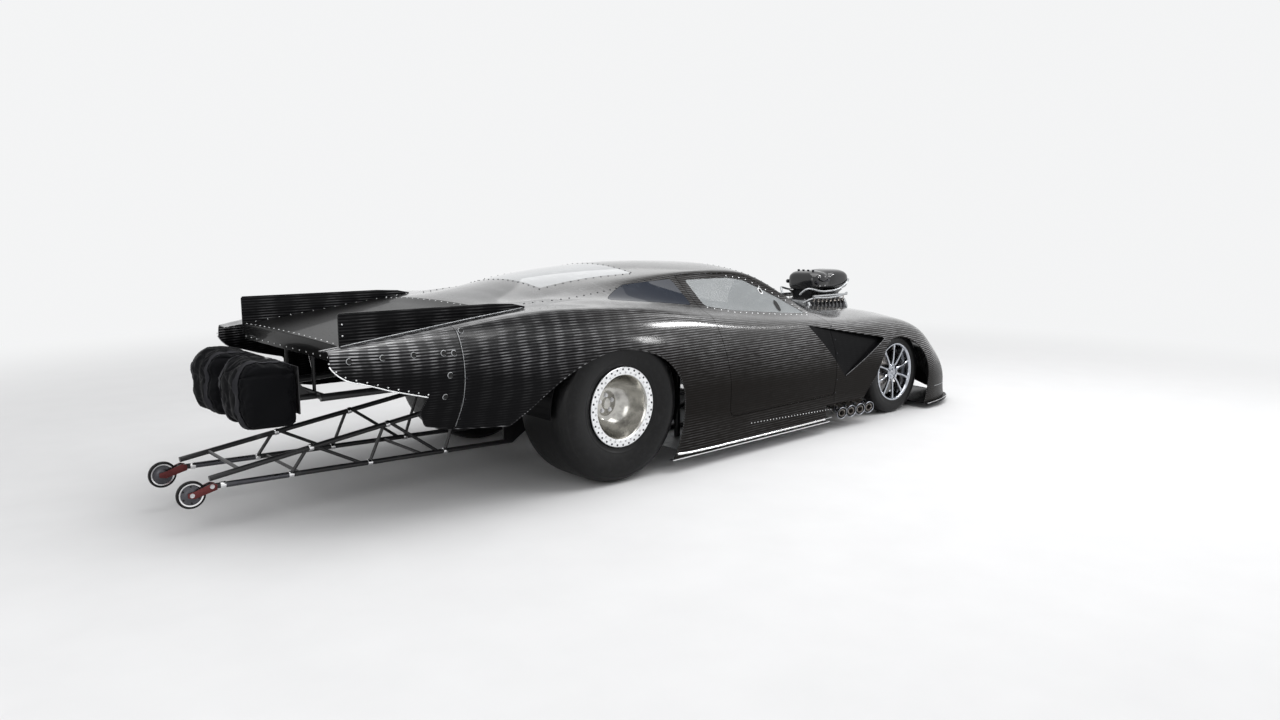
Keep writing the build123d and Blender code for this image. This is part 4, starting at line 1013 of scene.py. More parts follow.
def scatter_tree():
    """Node tree that sets a small mesh on every point, turned to the point's own direction."""
    tree = bpy.data.node_groups.new("Small parts on points", "GeometryNodeTree")
    sockets = {}
    for name, kind, way in (("Points", "NodeSocketGeometry", "INPUT"), ("Part", "NodeSocketObject", "INPUT"),
                            ("Size", "NodeSocketFloat", "INPUT"), ("Finish", "NodeSocketMaterial", "INPUT"),
                            ("Parts", "NodeSocketGeometry", "OUTPUT")):
        sockets[name] = tree.interface.new_socket(name, in_out=way, socket_type=kind)
    sockets["Size"].default_value = 1.0
    nodes = {label: tree.nodes.new(kind) for label, kind in (
        ("enter", "NodeGroupInput"), ("leave", "NodeGroupOutput"), ("part", "GeometryNodeObjectInfo"),
        ("aim", "GeometryNodeInputNamedAttribute"), ("turn", "FunctionNodeAlignRotationToVector"),
        ("spread", "GeometryNodeInstanceOnPoints"), ("real", "GeometryNodeRealizeInstances"),
        ("finish", "GeometryNodeSetMaterial"))}
    nodes["aim"].data_type = "FLOAT_VECTOR"
    nodes["aim"].inputs["Name"].default_value = "aim"
    nodes["turn"].axis = "Z"
    for source, output, target, entry in (
            ("enter", "Part", "part", "Object"), ("enter", "Points", "spread", "Points"),
            ("part", "Geometry", "spread", "Instance"), ("aim", "Attribute", "turn", "Vector"),
            ("turn", "Rotation", "spread", "Rotation"), ("enter", "Size", "spread", "Scale"),
            ("spread", "Instances", "real", "Geometry"), ("real", "Geometry", "finish", "Geometry"),
            ("enter", "Finish", "finish", "Material"), ("finish", "Geometry", "leave", "Parts")):
        socket = next(s for s in nodes[source].outputs if s.enabled and s.name == output)
        tree.links.new(socket, nodes[target].inputs[entry])
    return tree, {name: socket.identifier for name, socket in sockets.items()}


SCATTER = {}


def turned_head(rings, sides):
    """Round head from rings of radius and height, closed on top."""
    points = [(r * math.cos(a), r * math.sin(a), z) for r, z in rings for a in turns(sides)]
    top = (len(rings) - 1) * sides
    return points, grid_faces(len(rings), sides, True) + [tuple(range(top, top + sides))]


def dome(sides=10):
    """Low round head of unit radius, standing on its base."""
    return turned_head([(1.0, 0.0), (1.0, 0.12), (0.82, 0.34), (0.45, 0.48)], sides)


def hex_head():
    """Hexagon bolt head of unit radius on a washer, with the bolt's end on top."""
    return merge(*[turned_head([(radius, low), (radius, high)], sides) for sides, radius, low, high in
                   ((12, 1.25, 0.0, 0.15), (6, 1.0, 0.15, 0.85), (6, 0.5, 0.85, 1.05))])


def slotted():
    """Quarter-turn fastener: a dished round head with a slot across it."""
    head = turned_head([(1.0, 0.0), (1.0, 0.16), (0.86, 0.24), (0.74, 0.14), (0.2, 0.10)], 16)
    return merge(head, box_mesh((-0.62, -0.09, 0.08), (0.62, 0.09, 0.2)))


def scatter(name, spots, form, size, finish, slot="bright_alloy", body="chassis"):
    """Sets a small form on every spot, a point with its outward direction."""
    if not SCATTER:
        SCATTER["tree"], SCATTER["sockets"] = scatter_tree()
    material = finishes()[finish]
    part = mesh_object(name + "_form", *form, material)
    carrier = bpy.data.meshes.new(name)
    carrier.from_pydata([tuple(spot) for spot, _ in spots], [], [])
    aim = carrier.attributes.new("aim", "FLOAT_VECTOR", "POINT")
    aim.data.foreach_set("vector", [c for _, out in spots for c in out])
    thing = in_scene(name, carrier)
    modifier = thing.modifiers.new("parts", "NODES")
    modifier.node_group = SCATTER["tree"]
    sockets = SCATTER["sockets"]
    modifier[sockets["Part"]] = part
    modifier[sockets["Size"]] = size
    modifier[sockets["Finish"]] = material
    apply_all(thing)
    shade(thing.data, 40.0)
    bpy.data.objects.remove(part)
    return fit(thing, body, slot)


def spaced(line, pitch):
    """Points every pitch along a flat run of points, with both ends."""
    length = np.concatenate([[0], np.cumsum(np.linalg.norm(np.diff(line, axis=0), axis=1))])
    at = np.linspace(0, length[-1], max(1, int(round(length[-1] / pitch))) + 1)
    return np.stack([np.interp(at, length, values) for values in line.T], 1)


def side_row(outline, side, pitch, proud):
    """Spots along a side-view line on the body, every pitch."""
    return [skin().side_point(x, z, side, proud) for x, z in spaced(from_axle(outline), pitch)]


def top_row(outline, pitch, proud=0.0):
    """Spots along a plan-view line on the body, every pitch."""
    return [skin().top_point(x, y, proud) for x, y in spaced(from_axle(outline), pitch)]


def bead(name, spots, radius, finish, slot):
    """Thin round bead along a run of spots."""
    thing = clean(mesh_object(name, *tube_mesh([place for place, _ in spots], radius, 8), finishes()[finish]))
    shade(thing.data, 60.0)
    return fit(thing, "chassis", slot)


# The stage

EYE = Vector((-4.242, -4.899, 1.501))
VIEW_TURN = (0.7258, -0.1485, 0.0014)
BACKDROP = (0.93, 0.935, 0.94)
BACKDROP_GLOW = 0.97
FLOOR_REACH = 60.0
FLOOR_FADE = (3.0, 9.0)
LAMP_AIM = Vector((0, 0, 0.5))
# name, place, width, height, share of the key lamp's power
LAMPS = [
    ("key", (1.5, -1.5, 6.5), 7.0, 7.0, 1.0),
    ("fill", (-7.0, -3.0, 4.0), 5.0, 5.0, 0.35),
    ("back", (4.0, 4.6, 5.6), 4.0, 4.0, 0.07),
    ("haunch", (5.4, -5.6, 3.45), 0.5, 0.6, 0.10),
    ("shoulder", (6.1, -3.92, 4.62), 1.3, 0.5, 0.16),
]

# Tables of the trim; spacings, radii and heights over the surface are in metres

FENCE_TOP = [(-1545, 845), (-1545, 1052), (-1537, 1064), (-1480, 1064), (-700, 1062), (-560, 1054), (-480, 1036)]
DECK_FACE_FOOT = 822
DECK_FACE_SIDE = DECK_SIDE - 20
FASTENERS = [(-1564, 852), (-1419, 860), (-1280, 865), (-1140, 865), (-1089, 862), (-1024, 963), (-1119, 758),
             (-1138, 651)]
ROOF_RAIL = [(1230, 1150), (850, 1156), (500, 1132), (200, 1092), (-120, 1062), (-420, 1040)]
# rivets or screws, side-view line, spacing or the panel's own
TRIM_ROWS = [
    ("rivets", [(x, z + 14) for x, z in TAIL_EDGE], 0.05),
    ("rivets", [(1080, 203), (1960, 172)], 0.033),
    ("screws", ROOF_RAIL, None),
    ("screws", [(2012, 285), (2012, 760)], 0.09),
    ("screws", [(-1036, 520), (-1036, 950)], 0.11),
]
DECK_RIVETS = [[(x, -630), (x, 630)] for x in (-1530, -655)]
DECK_FACE_RIVETS = (0.61, 15, 0.838)
FENCE_RIVETS = (0.90, 0.955, 1.01)
RIVET_PROUD = 0.0005
SCREW_PROUD = 0.0006
FENCE_GAP = 0.0004
FENCE_WALL = 0.012
OVAL_STEPS = 32
WINDOW_RIVETS = [[(875, 952), (1105, 909), (1600, 861), (1900, 838)],
                 [(1925, 850), (1710, 975), (1410, 1109), (1250, 1131)]]
REAR_SCREWS = [(-180, -384), (-180, 384), (508, 442), (508, -442), (-180, -384)]
SCREEN_SCREWS = [[(1490, -474), (1487, 474)], [(1487, 474), (1985, 646)], [(1985, -646), (1490, -474)]]
SPLITTER_EDGE = [(3240, 922), (3300, 922), (3460, 896), (3640, 850), (3740, 795), (3812, 720), (3885, 400),
                 (3905, 0)]
# label, side-view line, spacing, how far proud, radius (without one, the lip of the settings), finish, slot
BEADS = [
    ("tail_lip_", TAIL_EDGE, 0.02, 0.0, None, "ring_alloy", "bright_alloy"),
    ("rear_arch_lip_", REAR_ARCH[2:-9], 0.02, -0.002, None, "carbon_side", "carbon_body"),
    ("front_arch_lip_", FRONT_ARCH[2:-2], 0.02, -0.002, None, "carbon_side", "carbon_body"),
    ("seam_edge_", [(REAR_SEAM / MM + 5, 478), (REAR_SEAM / MM + 5, 965)], 0.02, 0.0002, 0.0013, "cast_alloy",
     "carbon_body"),
    ("nose_crease_", [(3400, 168), (3640, 158), (3800, 150), (3868, 146)], 0.03, 0.0006, 0.0022, "cast_alloy",
     "carbon_body"),
    ("vent_edge_", [(2640, 622), (2400, 520), (2118, 400)], 0.02, 0.001, 0.0026, "dark_cast", "carbon_body"),
    ("sill_line_", [(385, 118), (500, 112), (1100, 108), (1600, 108), (1885, 110)], 0.05, 0.001, 0.0075,
     "bright_alloy", "bright_alloy"),
]
# label, place, half width and height, how far proud, finish
WINDOW_OVALS = [
    # The hole ovals are flat near-black sheets: painted shade standing in for the openings
    ("air_hole_", (1629, 916), (0.024, 0.036), 0.0012, "hole_shade_black"),
    ("vent_ring_", (1528, 1020), (0.021, 0.022), 0.0012, "ring_alloy"),
    ("vent_hole_", (1528, 1020), (0.014, 0.015), 0.0022, "hole_shade_black"),
]

# Wheel profiles: radius and distance out; walls and bar wheels are counted from the wheel's own middle

SLICK_WALL = [(222.6, 186), (232, 190), (250, 196), (262, 200), (266, 203), (270, 203), (274, 205), (300, 212),
              (325, 218.5), (350, 221.5), (374, 220.5), (396, 213), (404, 208.5), (407, 208.6), (410, 206),
              (418, 198), (430, 182), (438.5, 164), (444, 145), (447, 122), (448, 95), (448, 0)]
REAR_DISH = [(0, 778), (30, 778), (34, 781), (40, 778), (58, 778), (64, 775), (73, 771), (84, 771), (98, 777),
             (112, 787), (124, 798), (135, 810), (146, 826), (156, 845), (164, 864), (171, 884), (178, 908),
             (184, 924), (188, 928), (228, 928), (230, 920), (222, 915), (222, 560), (224, 548), (232, 536),
             (232, 530), (230, 528), (218, 528), (216, 530), (216, 906), (194, 906), (186, 886), (160, 826),
             (122, 784), (84, 758), (70, 740), (70, 540), (26, 540), (26, 606), (0, 606)]
CLAMP_RING = [(187, 928.5), (186.5, 932), (189, 934.5), (229, 934.5), (232, 932), (232.5, 924), (230.5, 921.5),
              (228.5, 924), (228.5, 928.5)]
FRONT_WALL = [(216.4, 48), (226, 51), (240, 54), (258, 56), (261, 57), (266, 57), (285, 57), (300, 55.5),
              (311, 51), (319, 44), (324.5, 36), (327, 29), (327, 23), (324, 22.5), (324, 20.5), (327, 20),
              (327, 8), (324, 7.5), (324, 5.5), (327, 5), (327, 0)]
FRONT_RING = [(226, 701), (226, 706), (217, 708), (212, 720), (210, 757), (212, 790), (217, 806), (226, 808),
              (228, 811), (226, 814), (219, 815), (212, 811), (206, 797), (203, 757), (206, 715), (208, 701)]
FRONT_HUB = [(0, 806), (20, 806), (25, 804), (28, 798), (34, 796), (56, 794), (62, 790), (62, 770), (56, 764),
             (48, 760), (48, 668), (21, 668), (21, 745), (0, 745)]
# radius, half width, back and front, in metres
SPOKE_ROWS = [(0.050, 0.014, 0.772, 0.792), (0.075, 0.009, 0.780, 0.797), (0.110, 0.0065, 0.784, 0.800),
              (0.150, 0.0065, 0.784, 0.802), (0.185, 0.0085, 0.782, 0.804), (0.209, 0.015, 0.778, 0.806)]
DISC = [(49, 672), (132, 672), (135.5, 674), (135.5, 680), (132, 682), (49, 682)]
BAR_PLANE = 241
# The ladder's tubes: height at the rear end, place of that end, rise and run
LOWER_TUBE = (222, -2060, -44, 1730)
UPPER_TUBE = (262, -2045, 250, 1715)
BAR_TYRE = [(54, -8), (60, -10.5), (64, -10), (67.5, -7), (68.5, -3), (68.5, 3), (67.5, 7), (64, 10), (60, 10.5),
            (54, 8)]
BAR_HUB = [(6.4, -12), (22, -12), (27, -9), (34, -5), (47, -5), (49, -7.5), (54, -7.5), (54, 7.5), (49, 7.5),
           (47, 5), (34, 5), (27, 9), (22, 12), (6.4, 12)]
BAR_RIM = [(50, -7.8), (56.5, -9.2), (57.5, -7.0), (57.5, 7.0), (56.5, 9.2), (50, 7.8)]

# Injector hat, its rows are x, half width, low, high

HAT_SHELL = [(2727, 88, 946, 1030), (2733, 116, 934, 1056), (2748, 134, 928, 1076), (2775, 143, 926, 1088),
             (2820, 147, 926, 1094), (2870, 147, 926, 1093), (2905, 144, 926, 1085), (2925, 140, 926, 1076),
             (2945, 143, 926, 1084), (2975, 147, 926, 1093), (3020, 149, 926, 1098), (3080, 149, 926, 1099),
             (3130, 148, 926, 1096), (3165, 145, 927, 1089), (3186, 139, 931, 1079), (3194, 132, 937, 1069)]
HAT_MOUTH = [(3194, 124, 944, 1058), (3186, 118, 949, 1050), (3150, 112, 952, 1046), (2960, 96, 958, 1038)]
BLOWER_END = [(-85, 660), (85, 660), (95, 700), (160, 732), (178, 790), (150, 856), (-150, 856), (-178, 790),
              (-160, 732), (-95, 700)]

# Engine tables in metres; the neck's rows are height, half length, half width

HAT_NECK = [(0.8584, 0.2, 0.108), (0.868, 0.2, 0.108), (0.872, 0.192, 0.1), (0.905, 0.196, 0.108),
            (0.932, 0.215, 0.132)]
HAT_HOSE = [(2.615, 0.09, 0.905), (2.635, 0.13, 0.955), (2.69, 0.158, 0.952), (2.80, 0.166, 0.925),
            (2.98, 0.168, 0.928), (3.09, 0.166, 0.955), (3.17, 0.158, 1.000), (3.20, 0.138, 1.012)]
FUEL_LINE = [(2.63, 0.12, 0.84), (2.66, 0.178, 0.885), (2.84, 0.19, 0.872), (3.06, 0.186, 0.88),
             (3.17, 0.15, 0.90)]
VALVE_COVER = [(0.205, 0.690), (0.215, 0.705), (0.250, 0.705), (0.292, 0.650), (0.306, 0.622), (0.292, 0.602),
               (0.286, 0.604)]
PULLEY_HUB = [(0.0, 0.0), (0.014, 0.0), (0.016, 0.012)]
PULLEY_RIM = [(-0.018, 0.012), (-0.012, 0.0), (0.011, 0.0), (0.011, 0.004), (-0.001, 0.005), (-0.001, 0.073),
              (0.011, 0.074), (0.011, 0.078), (-0.014, 0.078), (-0.02, 0.066)]
GUARD_RADIUS = 0.079
DRIVE_PLATE = [(-0.115, 0.70), (-0.05, 0.66), (-0.05, 0.50), (-0.09, 0.38), (0.09, 0.38), (0.05, 0.50),
               (0.05, 0.66), (0.115, 0.70), (0.115, 0.84), (-0.115, 0.84)]
EXHAUST_RING = [(0.040, 0.001), (0.0415, 0.003), (0.044, 0.003), (0.0455, 0.0), (0.0455, -0.006),
                (0.041, -0.013), (0.033, -0.032), (0.0268, -0.046), (0.0268, -0.070), (0.0262, -0.070),
                (0.0262, -0.046), (0.032, -0.032), (0.039, -0.012)]
EXHAUST_FUNNEL = [(0.0225, -0.070), (0.0225, -0.040), (0.029, -0.024), (0.0385, -0.006), (0.0412, 0.0012),
                  (0.0400, 0.0014), (0.0370, -0.006), (0.0275, -0.024), (0.0215, -0.040), (0.0215, -0.070)]
PORTS = (2.690, 2.820, 2.950, 3.080)

BRAKE_LINE = [(-0.02, 0.30, 0.52), (-0.10, 0.36, 0.56), (-0.30, 0.385, 0.595), (-0.66, 0.375, 0.605)]

# Belts and packs; the bag's rows are width in metres and scale of its profile

SEAT_Y = 0.31
BELT_HALF = 0.024
BAG_PROFILE = [(-1900, 514), (-1655, 508), (-1650, 545), (-1650, 785), (-1685, 803), (-1860, 825), (-1922, 755),
               (-1922, 605)]
BAG_ROWS = [(0.074, 0.82), (0.082, 0.95), (0.11, 1.0), (0.227, 1.0), (0.344, 1.0), (0.372, 0.95), (0.380, 0.82)]
BAG_VOXEL = 0.0075
STRAP_ROWS = (0.118, 0.336)
SWELL_FRAMES = 20
SWELL_PRESSURE = 4.0
SWELL_LIMIT = 0.016

# Operators

FINISH = {}
SHAPES = {}


def finishes():
    """Makes the shared materials once."""
    if FINISH:
        return FINISH
    colours = bpy.context.scene.coupe_colours
    FINISH.update({
        # The second number of each carbon finish is the strength of its painted tow sheen
        "carbon": carbon("carbon_tail", 2.4, 0.2, 0.086),
        "carbon_side": carbon("carbon_side", 1.6, band=0.118),
        "carbon_nose": carbon("carbon_nose", 2.2),
        "carbon_fence": carbon("carbon_fence", 0.8),
        "carbon_inner": carbon("carbon_inner", 0.15, 0.35, 0.086, False),
        "carbon_plain": carbon("carbon_plain", 0.5, 0.2, 0.086, False),
        "black_gloss": gloss("deck_gloss", (0.006, 0.006, 0.006), 0.30, 0.15, 0.03),
        "hat_gloss": gloss("hat_gloss", (0.006, 0.006, 0.007), 0.10, 0.4, 0.4),
        "dark_glass": glass("dark_glass", (0.006, 0.010, 0.020), 0.03, 0.0, 0.12),
        # Pale, mostly opaque sheet for the rear window: a painted reflection of a pale sky
        "pale_glass": glass("pale_glass", (0.36, 0.37, 0.38), 0.30),
        "clear_glass": glass("clear_glass", (0.42, 0.44, 0.45), 0.86),
        "screen_glass": glass("screen_glass", (0.10, 0.11, 0.12), 0.7),
        "frame_paint": paint("tube_black", (0.012, 0.012, 0.013)),
        "plate_alloy": metal("plate_alloy", (0.55, 0.56, 0.57), 0.34, (8, 160, 160)),
        "cast_alloy": metal("cast_alloy", (0.42, 0.43, 0.44), 0.5, (120, 120, 120)),
        "dark_cast": metal("dark_cast", (0.13, 0.13, 0.135), 0.45, (120, 120, 120)),
        "bright_alloy": metal("bright_alloy", (0.86, 0.86, 0.87), 0.16, (4, 220, 220), 0.12),
        "pipe_steel": metal("pipe_steel", (0.52, 0.48, 0.44), 0.3, (40, 40, 40), 0.35),
        # Polished dish: darker than bright metal, with heavy dark patches that are painted reflections of dark
        # surroundings as well as dirt
        "polished": metal("polished_dish", (0.50, 0.49, 0.46), 0.17, (30, 240, 30), 0.55),
        "ring_alloy": metal("ring_alloy", (0.86, 0.87, 0.88), 0.30, (90, 90, 90), 0.10),
        "chrome": metal("spoke_chrome", (0.46, 0.48, 0.52), 0.07, (20, 20, 20), 0.30),
        "steel_bolt": metal("bolt_steel", (0.62, 0.62, 0.63), 0.25),
        "black_bolt": metal("bolt_black", (0.035, 0.035, 0.04), 0.35, dirt_and_reflection_depth=0.0),
        "pale_rivet": metal("rivet_pale", (0.80, 0.81, 0.82), 0.28),
        "braid": metal("hose_braid", (0.40, 0.41, 0.42), 0.38, (300, 300, 300)),
        "red_metal": metal("fork_metal", (0.15, 0.045, 0.045), 0.35),
        "tyre_rear": tyre_rubber("slick_rubber", tuple(REAR_AXLE)),
        "tyre_front": tyre_rubber("front_rubber", tuple(FRONT_AXLE)),
        "black_rubber": tyre_rubber("belt_rubber", (0, 0, 0)),
        "dark_hub": metal("hub_dark", (0.10, 0.10, 0.11), 0.30),
        "fabric": cloth("pack_cloth", colours.fabric),
        "strap": cloth("strap_web", (0.012, 0.012, 0.014), 1400.0),
        # Near-black paint: gauge faces, fasteners and the exhaust ends' insides, and painted shade standing in for
        # holes
        "hole_shade_black": paint("seam_shadow", (0.004, 0.004, 0.004), 0.8),
    })
    return FINISH


def skin():
    """Makes the body's surface once."""
    if "skin" not in SHAPES:
        SHAPES["skin"] = Skin()
    return SHAPES["skin"]


class COUPE_OT_stage(bpy.types.Operator):
    """Makes the floor, the soft lamps, the surround and the camera"""
    bl_idname = "coupe.stage"
    bl_label = "Stage"

    def execute(self, context):
        scene = context.scene
        settings = scene.coupe_stage
        scene.view_settings.view_transform = "Standard"
        camera = bpy.data.cameras.new("camera")
        camera.lens = settings.lens
        camera.sensor_width = 36.0
        camera.clip_start = 0.05
        yaw, pitch, roll = VIEW_TURN
        forward = Vector((math.sin(yaw) * math.cos(pitch), math.cos(yaw) * math.cos(pitch), math.sin(pitch)))
        turn = forward.to_track_quat("-Z", "Y").to_matrix().to_4x4() @ Matrix.Rotation(roll, 4, "Z")
        scene.camera = in_scene("camera", camera)
        scene.camera.matrix_world = Matrix.Translation(EYE) @ turn

        world = Graph("surround", kind="worlds")
        level = world.node("ShaderNodeMapRange", {}, {"Value": world.seen(), "To Min": settings.sky,
                                                      "To Max": BACKDROP_GLOW})
        scene.world = world.finish(Color=BACKDROP, Strength=level)

        for name, place, wide, high, share in LAMPS:
            lamp = bpy.data.lights.new(name, "AREA")
            lamp.shape = "RECTANGLE"
            lamp.size = wide
            lamp.size_y = high
            lamp.energy = settings.key * share
            holder = in_scene(name, lamp)
            holder.location = place
            holder.rotation_euler = (LAMP_AIM - Vector(place)).to_track_quat("-Z", "Y").to_euler()
            holder.visible_camera = False
        self.floor()
        return {"FINISHED"}

    def floor(self):
        """A pale floor that turns into the backdrop's colour away from the car."""
        graph = Graph("floor_pale")
        x, y, _ = graph.split(graph.place())
        far = graph.remap((x * x + y * y) ** 0.5, *FLOOR_FADE)
        speck = graph.noise(graph.place((3, 3, 3)), 4.0)
        colour = graph.mix(speck, (0.66, 0.66, 0.665), (0.72, 0.72, 0.725))
        material = graph.finish(Base_Color=colour, Roughness=0.9)
        glow = graph.node("ShaderNodeEmission", {}, {"Color": BACKDROP, "Strength": BACKDROP_GLOW})
        own = Signal(graph, graph.shader.outputs[0])
        fade = graph.node("ShaderNodeMixShader", {}, {0: far * graph.seen(), 1: own, 2: glow})
        end = next(n for n in graph.tree.nodes if n.type == "OUTPUT_MATERIAL")
        graph.tree.links.new(fade.socket, end.inputs["Surface"])
        corners = [(x * FLOOR_REACH, y * FLOOR_REACH, 0) for x, y in ((-1, -1), (1, -1), (1, 1), (-1, 1))]
        mesh_object("floor", corners, [(0, 1, 2, 3)], material)


def deck_region(points):
    """Distance to the deck's plan, which is cut off at its own height."""
    return np.maximum(inside_by(points[:, :2], from_axle(DECK_PLAN)), DECK_UNDER - points[:, 2])


class COUPE_OT_panels(bpy.types.Operator):
    """Makes the carbon panels: front clip, centre body, tail, deck and fences"""
    bl_idname = "coupe.panels"
    bl_label = "Carbon panels"

    def execute(self, context):
        body = skin()
        arches = any_of(side_region(REAR_ARCH, radius=0.006), side_region(FRONT_ARCH, radius=0.006))
        cowl = plan_region(PLAN_OUTLINES["cowl"], above=0.65)
        nose = Panel(body, first=1.0)
        nose.drop(behind(car_x(NOSE_SEAM) + SEAM)).drop(arches)
        nose.drop(lambda p: cowl(p) - SEAM).drop(plan_region(HOOD_HOLE, radius=0.06))
        nose.sink(side_region(VENT, radius=0.004), vent_depth)
        fit(nose.make("front_clip_skin", "carbon_nose", PANEL_WALL, "carbon_inner"), "chassis", "carbon_body",
            "front_clip")

        centre = Panel(body, first=car_x(REAR_SEAM) - 0.05, last=car_x(2.46))
        centre.drop(behind(car_x(REAR_SEAM) + SEAM))
        centre.keep(any_of(behind(car_x(NOSE_SEAM) - SEAM), cowl)).drop(arches)
        centre.drop(all_of(deck_region, behind(car_x(DECK_FRONT))))
        for outline, grow in (("door", 0.004), ("quarter_window", 0.0)):
            centre.drop(side_region(SIDE_OUTLINES[outline], grow=grow))
        for outline in ("windshield", "rear_window"):
            centre.drop(plan_region(PLAN_OUTLINES[outline]))
        fit(centre.make("centre_body_skin", "carbon_side"), "chassis", "carbon_body", "center_body")

        tail = Panel(body, last=car_x(REAR_SEAM) + 0.05)
        tail.keep(behind(car_x(REAR_SEAM) - SEAM)).drop(arches)
        tail.drop(lambda p: deck_region(p) - SEAM)
        fit(tail.make("tail_skin", "carbon"), "chassis", "carbon_body", "tail_section")

        deck = Panel(body, last=car_x(DECK_FRONT) + 0.05)
        deck.keep(lambda p: deck_region(p) + SEAM)
        deck.keep(behind(car_x(DECK_FRONT) - SEAM)).drop(behind(car_x(DECK_REAR)))
        fit(deck.make("deck_skin", "black_gloss"), "chassis", "black_gloss", "deck_panel")
        self.deck_face(body)
        self.fences(body)
        return {"FINISHED"}

    def deck_face(self, body):
        """The upright plate at the deck's rear end."""
        high, edge = [(body.top_point(car_x(DECK_REAR) + 0.004, y)[0].z - 0.002) / MM
                      for y in (0.0, DECK_FACE_SIDE * MM)]
        outline = metres(arc_run([(-DECK_FACE_SIDE, edge), (0, high), (DECK_FACE_SIDE, edge)],
                                 [(DECK_FACE_SIDE, DECK_FACE_FOOT), (-DECK_FACE_SIDE, DECK_FACE_FOOT)]))
        piece("deck_face", [prism_mesh(outline, car_x(DECK_REAR), car_x(DECK_REAR) + 0.008, True)],
              "black_gloss", "black_gloss", bevel=0.002)

    def fences(self, body):
        """Both upright fences, their feet following the deck."""
        shapes = []
        for side in SIGNS:
            inner = side * (DECK_HALF + FENCE_GAP)
            foot = [(x / MM, (body.top_point(car_x(x), inner)[0].z - 0.004) / MM)
                    for x in np.linspace(-0.480, -1.540, 14)]
            rows = from_axle(FENCE_TOP + foot).tolist()
            shapes.append(prism_mesh(rows, inner, inner + side * FENCE_WALL))
        piece("spoiler_fence_plates", shapes, "carbon_fence", "carbon_body", nodes=("spoiler_fences",),
              bevel=0.0015)


class COUPE_OT_glass(bpy.types.Operator):
    """Makes the windshield, the rear window and the quarter windows"""
    bl_idname = "coupe.glass"
    bl_label = "Fixed glass"

    def execute(self, context):
        screen = Panel(skin(), first=car_x(1.4), last=car_x(2.4))
        screen.keep(plan_region(PLAN_OUTLINES["windshield"], -0.001))
        fit(screen.make("windshield_sheet", "screen_glass", 0.004), "chassis", "tinted_glass", "windshield")
        rear = Panel(skin(), first=car_x(-0.3), last=car_x(0.9))
        rear.keep(any_of(plan_region(PLAN_OUTLINES["rear_window"], -0.001),
                         side_region(SIDE_OUTLINES["quarter_window"], grow=-0.001)))
        sheets = rear.make("rear_glass_sheets", "dark_glass", 0.004)
        # The rear window gets the pale sheet, a painted reflection; the quarter windows keep the dark glass
        sheets.data.materials.append(finishes()["pale_glass"])
        for polygon in sheets.data.polygons:
            polygon.material_index = int(abs(polygon.center.y) < REAR_WINDOW_HALF)
        fit(sheets, "chassis", "tinted_glass", "rear_glass")
        return {"FINISHED"}


class COUPE_OT_doors(bpy.types.Operator):
    """Makes both doors with their clear windows"""
    bl_idname = "coupe.doors"
    bl_label = "Doors"

    def execute(self, context):
        for name, side in SIDES:
            def outer(points):
                return -side * points[:, 1] + DOOR_INNER

            hung = "door_" + name
            door = Panel(skin(), first=car_x(0.7), last=car_x(2.1))
            door.keep(side_region(SIDE_OUTLINES["door"], side)).keep(outer)
            door.drop(side_region(SIDE_OUTLINES["door_window"], side))
            door.sink(side_region(VENT, side, radius=0.004), vent_depth)
            fit(door.make("door_skin_" + name, "carbon_side", DOOR_WALL, "carbon_inner"), hung, "carbon_body", hung)
            window = Panel(skin(), first=car_x(0.7), last=car_x(2.1))
            window.keep(side_region(SIDE_OUTLINES["door_window"], side, -0.001)).keep(outer)
            fit(window.make("door_window_" + name, "clear_glass", 0.003), hung, "clear_glass", "door_glass_" + name)
            for label, place, radii, proud, finish in WINDOW_OVALS:
                self.oval(label + name, place, radii, side, proud, finish, hung)
        return {"FINISHED"}

    def oval(self, name, place, radii, side, proud, finish, body):
        """A thin oval lying on the body's side."""
        x, z = from_axle([place])[0]
        ring = [(x + radii[0] * math.cos(a), z + radii[1] * math.sin(a)) for a in turns(OVAL_STEPS)]
        points = [tuple(skin().side_point(*spot, side, proud)[0]) for spot in [*ring, (x, z)]]
        edges = [(i, (i + 1) % OVAL_STEPS)[::-side] for i in range(OVAL_STEPS)]
        faces = [(*edge, OVAL_STEPS) for edge in edges]
        fit(thicken(mesh_object(name, points, faces, finishes()[finish]), 0.0008), body, "clear_glass")


